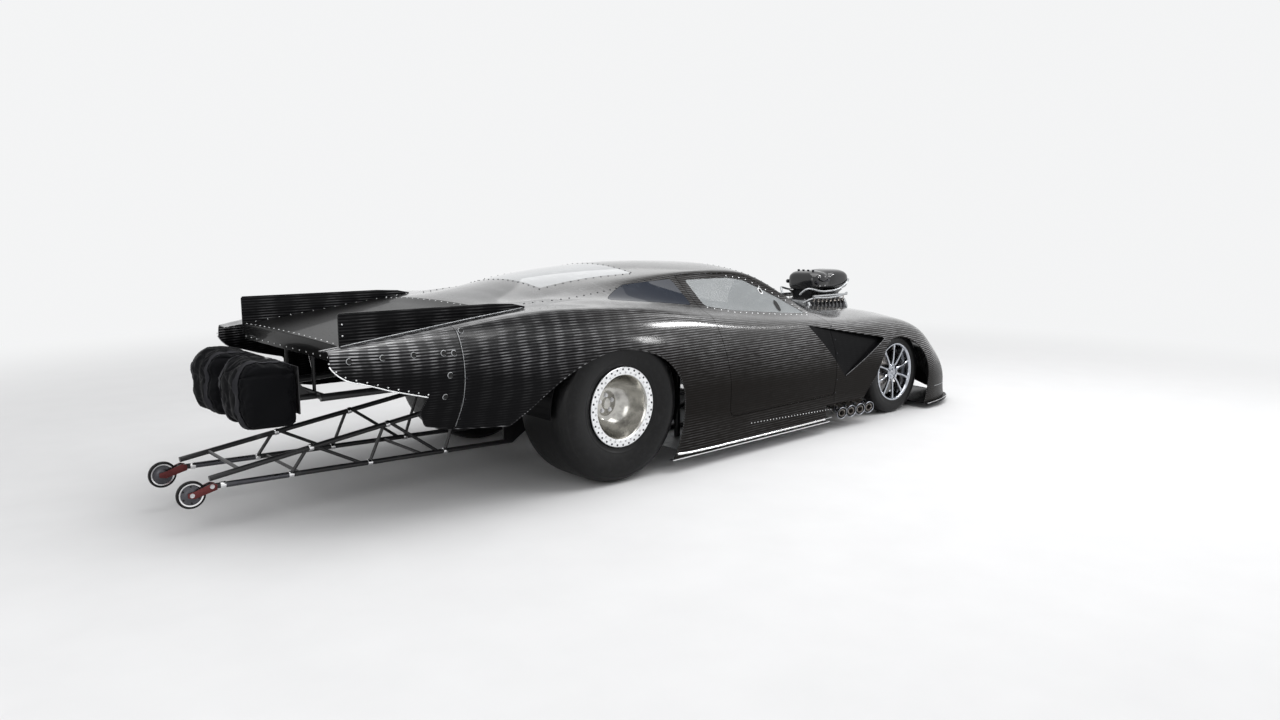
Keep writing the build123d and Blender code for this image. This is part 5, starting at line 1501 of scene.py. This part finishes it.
class COUPE_OT_trim(bpy.types.Operator):
    """Makes rivets, screws, fasteners, edge beads and seam lines"""
    bl_idname = "coupe.trim"
    bl_label = "Rivets and edges"

    def execute(self, context):
        sizes = context.scene.coupe_body
        rows, large = {"rivets": [], "screws": []}, []
        for name, side in SIDES:
            large += [skin().side_point(car_x(x * MM), z * MM, side, 0.001) for x, z in FASTENERS]
            for kind, outline, pitch in TRIM_ROWS:
                rows[kind] += side_row(outline, side, pitch or sizes.pitch, RIVET_PROUD)
            for label, outline, pitch, proud, radius, finish, slot in BEADS:
                bead(label + name, side_row(outline, side, pitch, proud), radius or sizes.lip, finish, slot)
            foot = [(x, side * (DECK_HALF + 0.016) / MM) for x in range(-1540, -480, 40)]
            bead("fence_foot_" + name, top_row(foot, 0.03), 0.0018, "cast_alloy", "carbon_body")
            rows["rivets"] += top_row([(x, y - side * 14) for x, y in foot], 0.07, RIVET_PROUD)[1:]
        for outline in [REAR_SCREWS, *SCREEN_SCREWS]:
            rows["screws"] += top_row(outline, sizes.pitch, SCREW_PROUD)
        for outline in DECK_RIVETS:
            rows["rivets"] += top_row(outline, 0.07, RIVET_PROUD)
        half, count, height = DECK_FACE_RIVETS
        rows["rivets"] += [(Vector((car_x(DECK_REAR) - 0.0004, y, height)), Vector((-1, 0, 0)))
                           for y in np.linspace(-half, half, count)]
        rows["rivets"] += [aimed(-1.528, side * 0.6666, z, 0, side, 0) for side in SIGNS for z in FENCE_RIVETS]
        scatter("body_rivets", rows["rivets"], dome(), sizes.rivet * 0.8, "pale_rivet")
        scatter("body_screws", rows["screws"], dome(), sizes.rivet, "black_bolt", "frame_paint")
        rims = [(point - out * 0.0022, out) for point, out in large]
        scatter("fastener_rims", rims, slotted(), sizes.fastener * 1.42, "cast_alloy", "frame_paint")
        scatter("tail_fasteners", large, slotted(), sizes.fastener * 1.2, "hole_shade_black", "frame_paint")
        for name, side in SIDES:
            spots = [spot for outline in WINDOW_RIVETS for spot in side_row(outline, side, 0.06, RIVET_PROUD)]
            scatter("window_rivets_" + name, spots, dome(), sizes.rivet * 0.85, "pale_rivet", body="door_" + name)
        edge = SPLITTER_EDGE + [(x, -y) for x, y in reversed(SPLITTER_EDGE[:-1])]
        route = [(Vector((x, y, 0.0485)), None) for x, y in from_axle(edge)]
        bead("splitter_edge", route, 0.003, "bright_alloy", "bright_alloy")
        return {"FINISHED"}


def ring_spots(centre, side, radius, out, count, shift=0.0):
    """Spots evenly round a crosswise axis, facing out."""
    angles = [2 * math.pi * (step + shift) / count for step in range(count)]
    return [(Vector((centre[0] + radius * math.sin(a), side * out, centre[2] + radius * math.cos(a))),
             Vector((0, side, 0))) for a in angles]


def wheel_pieces(name, side, centre, body, table):
    """Turned pieces of one wheel: label, profile, steps, closed or not, finish, slot, replaced node, sharp angle."""
    for label, rows, steps, closed, finish, slot, node, sharp in table:
        piece(label + name, [lathe(rows, centre, side, steps, closed)], finish, slot, body,
              (node + name,) if node else (), sharp=sharp)


def wheel_parts(name, side, centre, body, table):
    """Small parts round one wheel: label, rings of radius, distance out, count and shift, form, size, finish, slot."""
    for label, rings, form, size, finish, slot in table:
        spots = [spot for ring in rings for spot in ring_spots(centre, side, *ring)]
        scatter(label + name, spots, form, size, finish, slot, body)


def tyre_loop(wall, middle):
    """A closed tyre profile from the rows of its outer half, in millimetres."""
    return metres([(r, middle + y) for r, y in wall] + [(r, middle - y) for r, y in wall[::-1]])


class COUPE_OT_slicks(bpy.types.Operator):
    """Makes the rear slicks and their rims with the bolted clamping rings"""
    bl_idname = "coupe.slicks"
    bl_label = "Rear wheels"

    def execute(self, context):
        sizes = context.scene.coupe_wheels
        centre = (REAR_AXLE.x, 0, REAR_AXLE.z)
        pieces = [
            ("slick_", tyre_loop(SLICK_WALL, 728), 160, True, "tyre_rear", "tyre_rubber", "rear_tyre_", 50),
            ("rear_dish_", metres(REAR_DISH), 128, False, "polished", "polished_rim", "rear_rim_", 42),
            ("clamp_ring_", metres(CLAMP_RING), 128, True, "ring_alloy", "polished_rim", "", 30)]
        bolts, studs = sizes.ring_bolts, sizes.studs
        parts = [
            ("ring_bolts_", [(0.2005, 0.9345, bolts, 0.5)], hex_head(), 0.0052, "steel_bolt", "bright_alloy"),
            # Black domes of painted shade standing in for the holes round the clamping ring
            ("ring_holes_", [(0.2195, 0.9346, bolts)], dome(), 0.0062, "black_bolt", "bright_alloy"),
            ("rear_studs_", [(0.048, 0.778, studs)], hex_head(), 0.011, "steel_bolt", "bright_alloy")]
        for name, side in SIDES:
            body = "wheel_rear_" + name
            wheel_pieces(name, side, centre, body, pieces)
            wheel_parts(name, side, centre, body, parts)
        return {"FINISHED"}


class COUPE_OT_front_wheels(bpy.types.Operator):
    """Makes the front tyres, the slim bright wheels and the discs, their drilled holes shown as dark dots of painted
    shade
    """
    bl_idname = "coupe.front_wheels"
    bl_label = "Front wheels"

    def execute(self, context):
        sizes = context.scene.coupe_wheels
        centre = (FRONT_AXLE.x, 0, FRONT_AXLE.z)
        tyre = ("front_tyre_rubber_", tyre_loop(FRONT_WALL, 757), 128, True, "tyre_front", "tyre_rubber",
                "front_tyre_", 50)
        disc = ("disc_face_", metres(DISC), 96, True, "pipe_steel", "pipe_steel", "front_disc_", 35)
        parts = [
            # Black domes of painted shade standing in for the disc's drilled holes
            ("disc_holes_", [(0.088, 0.682, 16), (0.116, 0.682, 24, 0.5)], dome(8), 0.0045, "hole_shade_black",
             "frame_paint"),
            ("front_nuts_", [(0.044, 0.795, sizes.studs)], hex_head(), 0.0085, "chrome", "bright_alloy")]
        for name, side in SIDES:
            body = "wheel_front_" + name
            wheel_pieces(name, side, centre, body, [tyre])
            wheel = [lathe(metres(FRONT_RING), centre, side, 112, True), lathe(metres(FRONT_HUB), centre, side, 64)]
            wheel += [self.spoke(centre, side, 2 * math.pi * i / sizes.spokes) for i in range(sizes.spokes)]
            piece("front_wheel_" + name, wheel, "chrome", "bright_rim", body, ("front_rim_" + name,), sharp=38)
            wheel_pieces(name, side, centre, body, [disc])
            wheel_parts(name, side, centre, body, parts)
        return {"FINISHED"}

    def spoke(self, centre, side, angle):
        """One slim spoke: waisted, with a rounded ridge along its middle."""
        out = Vector((math.sin(angle), 0, math.cos(angle)))
        across = Vector((math.cos(angle), 0, -math.sin(angle)))
        points = []
        for radius, half, back, front in SPOKE_ROWS:
            middle = Vector(centre) + out * radius
            for w, y in ((-1, back), (-1, front - 0.004), (-0.45, front), (0.45, front), (1, front - 0.004),
                         (1, back)):
                points.append(tuple(middle + across * (w * half) + Vector((0, side * y, 0))))
        return points, capped_faces(len(SPOKE_ROWS), 6)


class COUPE_OT_bar_wheels(bpy.types.Operator):
    """Makes the small wheels of the wheelie bars and dresses the bars"""
    bl_idname = "coupe.bar_wheels"
    bl_label = "Wheelie bar wheels"

    def execute(self, context):
        centre = (car_x(-2.1325), 0, 0.198)
        pieces = [(label, metres([(r, BAR_PLANE + y) for r, y in rows]), 64, True, finish, slot, node, sharp)
                  for label, rows, finish, slot, node, sharp in (
                      ("bar_tyre_", BAR_TYRE, "black_rubber", "wheel_rubber", "bar_wheel_", 50),
                      ("bar_hub_", BAR_HUB, "dark_hub", "bright_alloy", "", 35),
                      ("bar_rim_", BAR_RIM, "bright_alloy", "bright_alloy", "", 35))]
        # Black domes of painted shade standing in for the hub's holes
        holes = [("bar_hub_holes_", [(0.041, 0.246, 6)], dome(8), 0.005, "hole_shade_black", "frame_paint")]
        for name, side in SIDES:
            body = "wheel_bar_" + name
            wheel_pieces(name, side, centre, body, pieces)
            wheel_parts(name, side, centre, body, holes)
            self.dress(name, side)
        return {"FINISHED"}

    def dress(self, name, side):
        """The dark sleeve, the collars, the fork's cheeks and their bolts on one ladder."""
        middle = BAR_PLANE * MM

        def stretch(tube, *places):
            height, start, rise, run = tube
            return [(car_x(x * MM), side * middle, (height + (x - start) * rise / run) * MM) for x in places]

        piece("bar_sleeve_" + name, [tube_mesh(stretch(LOWER_TUBE, -2000, -1640), 0.0149, 24, False)], "dark_hub",
              "frame_paint")
        collars = [stretch(LOWER_TUBE, x - 13, x + 13) for x in (-1985, -1650, -1220, -760)]
        collars += [stretch(UPPER_TUBE, x - 12, x + 12) for x in (-1540, -1110, -680)]
        piece("bar_collars_" + name, [tube_mesh(pair, 0.0185, 20, False) for pair in collars], "bright_alloy",
              bevel=0.0015)
        cheek = [(-2152, 188), (-2152, 210), (-2120, 216), (-2040, 242), (-2016, 234), (-2016, 206), (-2120, 180)]
        rows = from_axle(cheek).tolist()
        parts = [prism_mesh(rows, side * (middle + w * 0.0185), side * (middle + w * 0.0225)) for w in (1, -1)]
        piece("bar_fork_" + name, parts, "red_metal", "frame_paint", bevel=0.001)
        spots = [aimed(x * MM, side * 0.2636, z * MM, 0, side, 0) for x, z in ((-2132.5, 198), (-2040, 226))]
        scatter("bar_bolts_" + name, spots, hex_head(), 0.009, "steel_bolt")


class COUPE_OT_engine(bpy.types.Operator):
    """Makes the injector hat, the blower's fittings, the belt drive and the exhaust ends"""
    bl_idname = "coupe.engine"
    bl_label = "Engine"

    def execute(self, context):
        self.hat()
        self.hat_fittings()
        self.blower()
        self.belt()
        self.pipes()
        repaint(engine_block="dark_cast", supercharger="dark_cast", headers_left="pipe_steel",
                headers_right="pipe_steel", transmission="cast_alloy", drive_shaft="plate_alloy")
        return {"FINISHED"}

    def hat(self):
        """The hat's shell with its open mouth, on a flared neck."""
        points = []
        for x, half, low, high in HAT_SHELL + HAT_MOUTH:
            for angle in turns(56):
                c, s = math.cos(angle), math.sin(angle)
                y = half * math.copysign(abs(c) ** 0.58, c)
                z = (low + high) / 2 + (high - low) / 2 * math.copysign(abs(s) ** 0.58, s)
                points.append((car_x(x * MM), y * MM, z * MM))
        shell = (points, capped_faces(len(HAT_SHELL + HAT_MOUTH), 56))
        neck = []
        for z, long, wide in HAT_NECK:
            for x, y in rounded([(-long, -wide), (long, -wide), (long, wide), (-long, wide)], 0.03, 6):
                neck.append((car_x(2.935) + x, y, z))
        foot = (neck, capped_faces(len(HAT_NECK), len(neck) // len(HAT_NECK)))
        piece("hat_shell", [shell, foot], "hat_gloss", "hat_gloss", nodes=("injector_hat",), sharp=50)

    def hat_fittings(self):
        """The throttle blades, bolts, plugs and braided hoses of the hat."""
        blades = [box_mesh((car_x(3.13), y - 0.034, 0.956), (car_x(3.134), y + 0.034, 1.04))
                  for y in (-0.074, 0, 0.074)]
        blades.append(tube_mesh(run_of(1, (3.132, -0.108, 0.998), (3.132, 0.108, 0.998)), 0.006, 12, False))
        piece("throttle_blades", blades, "bright_alloy", bevel=0.001)
        spots, plugs, hoses = [], [], []
        for side in SIGNS:
            spots += [aimed(x * MM, side * 0.1, 0.8685, 0, 0, 1) for x in range(2770, 3110, 47)]
            spots += [aimed(x * MM, side * 0.1475, z * MM, 0, side, 0) for x in (2800, 2866) for z in (1046, 972)]
        scatter("hat_bolts", spots, hex_head(), 0.0055, "steel_bolt")
        for y in (-0.075, -0.025, 0.025, 0.075):
            plugs.append(tube_mesh(run_of(1, (2.80, y, 1.084), (2.80, y, 1.101)), 0.010, 16, False))
        for side in SIGNS:
            plugs.append(tube_mesh(run_of(side, (2.76, 0.14, 1.0), (2.76, 0.163, 1.0)), 0.016, 20, False))
            plugs.append(tube_mesh(run_of(side, (2.79, 0.152, 1.03), (2.85, 0.155, 0.99), (2.93, 0.152, 1.02)),
                                   0.006, 10))
            hoses.append(tube_mesh(run_of(side, *HAT_HOSE), 0.0085))
        piece("hat_fittings", plugs, "black_bolt", bevel=0.001)
        piece("hat_hoses", hoses, "braid")

    def blower(self):
        """The fuel lines, nozzles, end plates, rear hoses and valve covers round the blower."""
        lines, nozzles, spots, covers = [], [], [], []
        for side in SIGNS:
            lines.append(tube_mesh(run_of(side, (2.68, 0.178, 0.893), (3.13, 0.178, 0.893)), 0.009, 16, False))
            lines.append(tube_mesh(run_of(side, *FUEL_LINE), 0.008))
            for i in range(8):
                x = car_x(2.70 + i * 0.055)
                nozzles.append(tube_mesh([(x, side * 0.165, 0.842), (x + 0.004, side * 0.178, 0.862),
                                          (x + 0.006, side * 0.174, 0.895)], 0.0045, 10))
                nozzles.append(tube_mesh([(x, side * 0.150, 0.835), (x, side * 0.172, 0.848)], 0.009, 12, False))
            spots += [aimed(x, side * 0.165, z, 0, side, 0) for x in (2.672, 3.128) for z in (0.70, 0.76, 0.82)]
            spots += [aimed(x, side * 0.092, 0.8582, 0, 0, 1) for x in np.linspace(2.68, 3.12, 9)]
            covers.append(prism_mesh([(side * y, z) for y, z in VALVE_COVER], car_x(2.60), car_x(3.14), True))
        piece("fuel_lines", lines, "braid")
        piece("fuel_nozzles", nozzles, "pipe_steel")
        outline = metres(rounded(BLOWER_END, 14, 4))
        ends = [prism_mesh(outline, car_x(x), car_x(x) + 0.024, True) for x in (2.648, 3.128)]
        piece("blower_ends", ends, "cast_alloy", "cast_alloy", bevel=0.002)
        hoses, unions = [], []
        for y in (-0.15, -0.05, 0.05, 0.15):
            hoses.append(tube_mesh(run_of(1, (2.645, y, 0.80), (2.618, y * 1.08, 0.845), (2.612, y * 1.15, 0.76),
                                          (2.618, y * 1.2, 0.66)), 0.012, 14))
            unions.append(tube_mesh(run_of(1, (2.650, y, 0.797), (2.636, y, 0.812)), 0.016, 14, False))
        piece("rear_hoses", hoses, "black_bolt", "black_fabric")
        piece("hose_unions", unions, "bright_alloy", bevel=0.001)
        scatter("blower_bolts", spots, hex_head(), 0.0065, "steel_bolt")
        piece("valve_covers", covers, "bright_alloy", "cast_alloy", bevel=0.006, segments=3)
        spots = [aimed(x, side * 0.272, 0.6795, 0, side * 0.79, 0.61)
                 for x in np.linspace(2.64, 3.10, 7) for side in SIGNS]
        scatter("cover_nuts", spots, hex_head(), 0.007, "steel_bolt")

    def belt(self):
        """The blower's belt, pulleys, guard and carrier plate; pulleys are height and radius."""
        low, high = (0.420, 0.072), (0.792, 0.062)
        outline = [(math.cos(angle), math.sin(angle), *pulley) for pulley, first in ((high, 0.0), (low, math.pi))
                   for angle in np.linspace(first, first + math.pi, 40)]
        start, end = car_x(3.1904), car_x(3.2584)
        rings = [(start, 0.008), (end, 0.008), (end, 0.001), (start, 0.001), (start, 0.008)]
        points = [(x, c * (r + grow), z + s * (r + grow)) for x, grow in rings for c, s, z, r in outline]
        piece("blower_belt", [(points, grid_faces(len(rings), len(outline), True))], "black_rubber")
        wheels = []
        for z, radius in (low, high):
            turned, faces = lathe([*PULLEY_HUB, *[(radius + grow, out) for grow, out in PULLEY_RIM],
                                   (0.03, 0.066), (0.028, 0.078), (0.0, 0.078)], ORIGIN, 1, 64)
            wheels.append(([(car_x(3.1846) + y, x, z + h) for x, y, h in turned], faces))
        piece("belt_pulleys", wheels, "bright_alloy", nodes=("blower_drive",), sharp=30)
        arc = np.linspace(-0.15, math.pi + 0.15, 48)
        ring = [((GUARD_RADIUS + grow) * math.cos(a), high[0] + (GUARD_RADIUS + grow) * math.sin(a))
                for grow, way in ((0.0035, 1), (0.0, -1)) for a in arc[::way]]
        piece("belt_guard", [prism_mesh(ring, start - 0.003, end + 0.003, True)], "bright_alloy")
        spots = [aimed(3.2505, 0.044 * math.sin(a), z + 0.044 * math.cos(a), 1, 0, 0)
                 for z, _ in (low, high) for a in turns(6)]
        scatter("pulley_bolts", spots, hex_head(), 0.006, "steel_bolt")
        plate = rounded(DRIVE_PLATE, 0.02, 4).tolist()
        piece("drive_plate", [prism_mesh(plate, car_x(3.1525), car_x(3.1625), True)], "bright_alloy", bevel=0.0015)

    def pipes(self):
        """The flared exhaust ends and the collars and nuts at the ports."""
        rings, funnels, bands = [], [], []
        for side in SIGNS:
            turn = Vector((-120, side * 432, -83)).normalized().to_track_quat("Y", "Z").to_matrix().to_4x4()
            for outlet in (2.110, 2.220, 2.330, 2.440):
                turn.translation = Vector((car_x(outlet), side * 0.912, 0.122))
                for parts, profile in ((rings, EXHAUST_RING), (funnels, EXHAUST_FUNNEL)):
                    turned, faces = lathe(profile, ORIGIN, 1, 40, True)
                    parts.append(([tuple(turn @ Vector(point)) for point in turned], faces))
            for port in PORTS:
                bands.append(tube_mesh([(car_x(port) - 0.001, side * 0.302, 0.560),
                                        (car_x(port) - 0.004, side * 0.318, 0.557)], 0.032, 24, False))
        piece("exhaust_rings", rings, "chrome", "pipe_steel")
        piece("exhaust_funnels", funnels, "hole_shade_black", "pipe_steel")
        piece("header_collars", bands, "pipe_steel", "pipe_steel", bevel=0.002)
        spots = [aimed(port + dx, side * 0.3004, 0.560 + dz, 0, side, 0)
                 for side in SIGNS for port in PORTS for dx, dz in ((-0.033, 0.026), (0.033, -0.026))]
        scatter("header_nuts", spots, hex_head(), 0.006, "steel_bolt")


def repaint(**pairs):
    """Gives CAD nodes their finishes, by name."""
    for node, finish in pairs.items():
        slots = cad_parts[node].data.materials
        slots.clear()
        slots.append(finishes()[finish])


def webbing(name, parts, wall):
    """Flat webbing with its wall, from point and face lists."""
    strap = mesh_object(name, *merge(*parts), finishes()["strap"], sharp=180)
    return fit(thicken(strap, wall), "chassis", "black_fabric")


class COUPE_OT_cabin(bpy.types.Operator):
    """Dresses the seat, belts, dashboard, steering wheel and roll cage"""
    bl_idname = "coupe.cabin"
    bl_label = "Cabin"

    def execute(self, context):
        repaint(driver_seat="carbon_inner", dashboard="carbon_inner", steering_wheel="black_gloss",
                roll_cage="frame_paint", floor_pan="plate_alloy", bulkheads="plate_alloy", rear_tubs="carbon_inner")
        self.belts()
        self.gauges()
        self.grips()
        return {"FINISHED"}

    def belts(self):
        """Shoulder and lap belts with their round buckle."""
        shoulder = [(825, 790), (850, 700), (900, 560), (1000, 430), (1060, 395)]
        lap = [(1.02, 0.165, 0.32), (1.05, 0.10, 0.385), (1.075, 0.02, 0.402)]
        parts = [self.band([(car_x(x * MM), y, z * MM) for x, z in shoulder]) for y in (0.245, 0.375)]
        parts += [self.band([(car_x(x), SEAT_Y + side * y, z) for x, y, z in lap], True) for side in SIGNS]
        webbing("seat_belts", parts, 0.0022)
        hub = [(0, 0), (0.028, 0), (0.033, 0.004), (0.033, 0.012), (0.028, 0.016), (0.012, 0.018), (0, 0.018)]
        turned, faces = lathe(hub, ORIGIN, 1, 40)
        buckle = [(car_x(1.068) + x * 0.5 + y * 0.8, SEAT_Y + h, 0.402 - x * 0.8 + y * 0.6) for x, y, h in turned]
        piece("belt_buckle", [(buckle, faces)], "bright_alloy")

    def band(self, route, along=False):
        """Flat webbing over a route, its width across the car or along it."""
        line = np.array(route)
        steps = np.linspace(0, len(line) - 1, 24)
        run = np.stack([np.interp(steps, np.arange(len(line)), line[:, k]) for k in range(3)], 1)
        for _ in range(4):
            run[1:-1] = 0.25 * run[:-2] + 0.5 * run[1:-1] + 0.25 * run[2:]
        wide = np.array([1.0, 0, 0]) if along else np.array([0, 1.0, 0])
        points = [tuple(p + wide * w * BELT_HALF) for p in run for w in (-1, -0.33, 0.33, 1)]
        return points, grid_faces(len(run), 4)

    def gauges(self):
        """Round gauges on the dashboard: one large, three small."""
        rims, dials = [], []
        for y, z, radius in ((0.31, 0.775, 0.046), (0.20, 0.765, 0.03), (0.42, 0.765, 0.03), (0.08, 0.765, 0.026)):
            rim = [(0.0, 0.0), (radius, 0.0), (radius, 0.022), (radius - 0.004, 0.024), (radius - 0.007, 0.018),
                   (0.0, 0.016)]
            turned, faces = lathe(rim, ORIGIN, 1, 36)
            rims.append(([(0.9165 - h, y + x, z + k) for x, h, k in turned], faces))
            face = [((radius - 0.008) * math.cos(a) + y, (radius - 0.008) * math.sin(a) + z) for a in turns(28)]
            dials.append(prism_mesh(face, 0.8998, 0.8994, True))
        piece("gauge_rims", rims, "bright_alloy")
        piece("gauge_faces", dials, "hole_shade_black", "frame_paint")

    def grips(self):
        """Rubber grips round the steering wheel's rim."""
        middle = Vector((car_x(1.540), 0.310, 0.770))
        axis = (Vector((car_x(2.070), 0.310, 0.520)) - middle).normalized()
        side = Vector((0, 1, 0))
        up = axis.cross(side)
        parts = []
        for start, end in ((0.25, 1.25), (1.9, 2.9), (3.5, 4.4), (5.0, 5.95)):
            route = [tuple(middle + axis * 0.011 + (side * math.cos(a) + up * math.sin(a)) * 0.128)
                     for a in np.linspace(start, end, 9)]
            parts.append(tube_mesh(route, 0.0165))
        piece("wheel_grips", parts, "black_rubber", "black_gloss")


class COUPE_OT_running_gear(bpy.types.Operator):
    """Finishes the frame, axle, suspension, steering, mounts, splitter and rocker strips"""
    bl_idname = "coupe.running_gear"
    bl_label = "Running gear"

    def execute(self, context):
        repaint(chassis_frame="frame_paint", wheelie_bars="frame_paint", rear_axle="frame_paint",
                rear_suspension="plate_alloy", front_suspension="plate_alloy", tie_rods="pipe_steel",
                knuckle_left="plate_alloy", knuckle_right="plate_alloy", chute_mounts="frame_paint",
                front_splitter="carbon_plain", rocker_strips="bright_alloy")
        spots = [aimed(-0.1505, 0.105 * math.sin(a), 0.448 + 0.105 * math.cos(a), -1, 0, 0) for a in turns(10)]
        spots += [aimed(-1.6337, side * y, z, 1, 0, 0)
                  for side in SIGNS for y in (0.11, 0.345) for z in (0.575, 0.755)]
        scatter("gear_bolts", spots, hex_head(), 0.008, "steel_bolt")
        piece("brake_lines", [tube_mesh(run_of(side, *BRAKE_LINE), 0.005, 12) for side in SIGNS], "braid")
        return {"FINISHED"}


def read_vectors(mesh, field):
    """A mesh's points or directions as rows of three."""
    values = np.empty(len(mesh.vertices) * 3)
    mesh.vertices.foreach_get(field, values)
    return values.reshape(-1, 3)


def write_points(mesh, points):
    mesh.vertices.foreach_set("co", points.ravel())
    mesh.update()


class COUPE_OT_parachutes(bpy.types.Operator):
    """Makes the two packed parachute bags by cloth simulation, with their straps"""
    bl_idname = "coupe.parachutes"
    bl_label = "Parachute packs"

    def execute(self, context):
        for name, side in SIDES:
            self.straps(name, side, self.bag(name, side))
        return {"FINISHED"}

    def bag(self, name, side):
        """A stuffed cloth bag: a rounded form, remeshed, creased, swelled by simulation and smoothed."""
        outline = rounded(from_axle(BAG_PROFILE), 0.035, 6)
        middle = outline.mean(axis=0)
        points = [(x, side * y, z) for y, scale in BAG_ROWS for x, z in middle + (outline - middle) * scale]
        thing = mesh_object("parachute_bag_" + name, points, capped_faces(len(BAG_ROWS), len(outline)),
                            finishes()["fabric"], sharp=180)
        clean(thing)
        remesh = thing.modifiers.new("remesh", "REMESH")
        remesh.mode = "VOXEL"
        remesh.voxel_size = BAG_VOXEL
        apply_all(thing)
        start = read_vectors(thing.data, "co")
        x, y, z = start[:, 0] - REAR_AXLE.x, np.abs(start[:, 1]), start[:, 2]
        # Folds of two lengths across each other, and the flap's edge as a shallow groove
        crease = 0.0025 * (np.sin(x * 34 + 9 * y) * np.sin(z * 27 + side) + 0.5 * np.sin(y * 31 + z * 36 + 2 * side))
        flap = 0.006 * np.exp(-((z - 0.775 - 0.02 * np.sin(y * 30)) / 0.006) ** 2)
        start = start + read_vectors(thing.data, "normal") * (crease - flap)[:, None]
        write_points(thing.data, start)
        self.swell(thing, start, x, y, z)
        level = thing.modifiers.new("smooth", "SUBSURF")
        level.levels = level.render_levels = 1
        apply_all(thing)
        thing.vertex_groups.clear()
        shade(thing.data, 180.0)
        fit(thing, "chassis", "black_fabric", "chute_pack_" + name)
        return thing

    def swell(self, thing, start, x, y, z):
        """Blows the bag up against its straps and its mount, by no more than a limit."""
        # Held back along the middle and under both straps, and fixed where the bag meets its mount
        pinned = thing.vertex_groups.new(name="held")
        held = (np.abs(y - 0.227) < 0.012) | (np.abs(y - STRAP_ROWS[0]) < 0.008) | (np.abs(y - STRAP_ROWS[1]) < 0.008)
        pinned.add(np.nonzero(held & (z > 0.52))[0].tolist(), 0.75, "REPLACE")
        pinned.add(np.nonzero(x > -1.656)[0].tolist(), 1.0, "REPLACE")
        modifier = thing.modifiers.new("cloth", "CLOTH")
        settings = modifier.settings
        settings.quality = 5
        settings.mass = 0.2
        settings.use_pressure = True
        settings.uniform_pressure_force = SWELL_PRESSURE
        settings.shrink_min = -0.10
        settings.vertex_group_mass = "held"
        settings.effector_weights.gravity = 0
        modifier.collision_settings.use_collision = False
        modifier.point_cache.frame_start = 1
        modifier.point_cache.frame_end = SWELL_FRAMES
        for number in range(1, SWELL_FRAMES + 1):
            bpy.context.scene.frame_set(number)
        apply_all(thing)
        bpy.context.scene.frame_set(1)
        move = read_vectors(thing.data, "co") - start
        length = np.linalg.norm(move, axis=1, keepdims=True)
        move *= np.minimum(1.0, SWELL_LIMIT / np.maximum(length, 1e-9))
        write_points(thing.data, start + move)

    def straps(self, name, side, bag):
        """Webbing pulled round the bag, laid on its surface."""
        tree = BVHTree.FromPolygons([v.co for v in bag.data.vertices], [p.vertices for p in bag.data.polygons])
        parts = []
        for y in STRAP_ROWS:
            points = []
            for angle in turns(72):
                aim = Vector((math.cos(angle), 0, math.sin(angle)))
                for shift in (-0.018, -0.006, 0.006, 0.018):
                    start = Vector((car_x(-1.785), side * (y + shift), 0.66)) + aim * 0.6
                    hit = tree.ray_cast(start, -aim)[0]
                    points.append(tuple((hit if hit else start - aim * 0.4) + aim * 0.0035))
            parts.append((points, [tuple(i % (72 * 4) for i in face) for face in grid_faces(73, 4)]))
        webbing("pack_straps_" + name, parts, 0.002)


class COUPE_PT_panel(bpy.types.Panel):
    """Lists the coupe's steps and settings"""
    bl_idname = "COUPE_PT_panel"
    bl_label = "Drag Coupe"
    bl_space_type = "VIEW_3D"
    bl_region_type = "UI"
    bl_category = "Drag Coupe"

    def draw(self, context):
        for step in STEPS:
            self.layout.operator(step.bl_idname)
        for owner in GROUPS:
            group = getattr(context.scene, owner)
            column = self.layout.column()
            for name in group.__annotations__:
                column.prop(group, name)


GROUPS = {"coupe_body": BodySizes, "coupe_wheels": WheelSizes, "coupe_colours": CarColours,
          "coupe_stage": StageSettings}
STEPS = [COUPE_OT_stage, COUPE_OT_panels, COUPE_OT_glass, COUPE_OT_doors, COUPE_OT_trim, COUPE_OT_slicks,
         COUPE_OT_front_wheels, COUPE_OT_bar_wheels, COUPE_OT_engine, COUPE_OT_cabin, COUPE_OT_running_gear,
         COUPE_OT_parachutes]


def register():
    for item in [*GROUPS.values(), *STEPS, COUPE_PT_panel]:
        bpy.utils.register_class(item)
    for name, group in GROUPS.items():
        setattr(bpy.types.Scene, name, PointerProperty(type=group))


def unregister():
    for name in GROUPS:
        delattr(bpy.types.Scene, name)
    for item in reversed([*GROUPS.values(), *STEPS, COUPE_PT_panel]):
        bpy.utils.unregister_class(item)


def main():
    register()
    for step in STEPS:
        area, name = step.bl_idname.split(".")
        getattr(getattr(bpy.ops, area), name)()


if __name__ == "__main__":
    main()
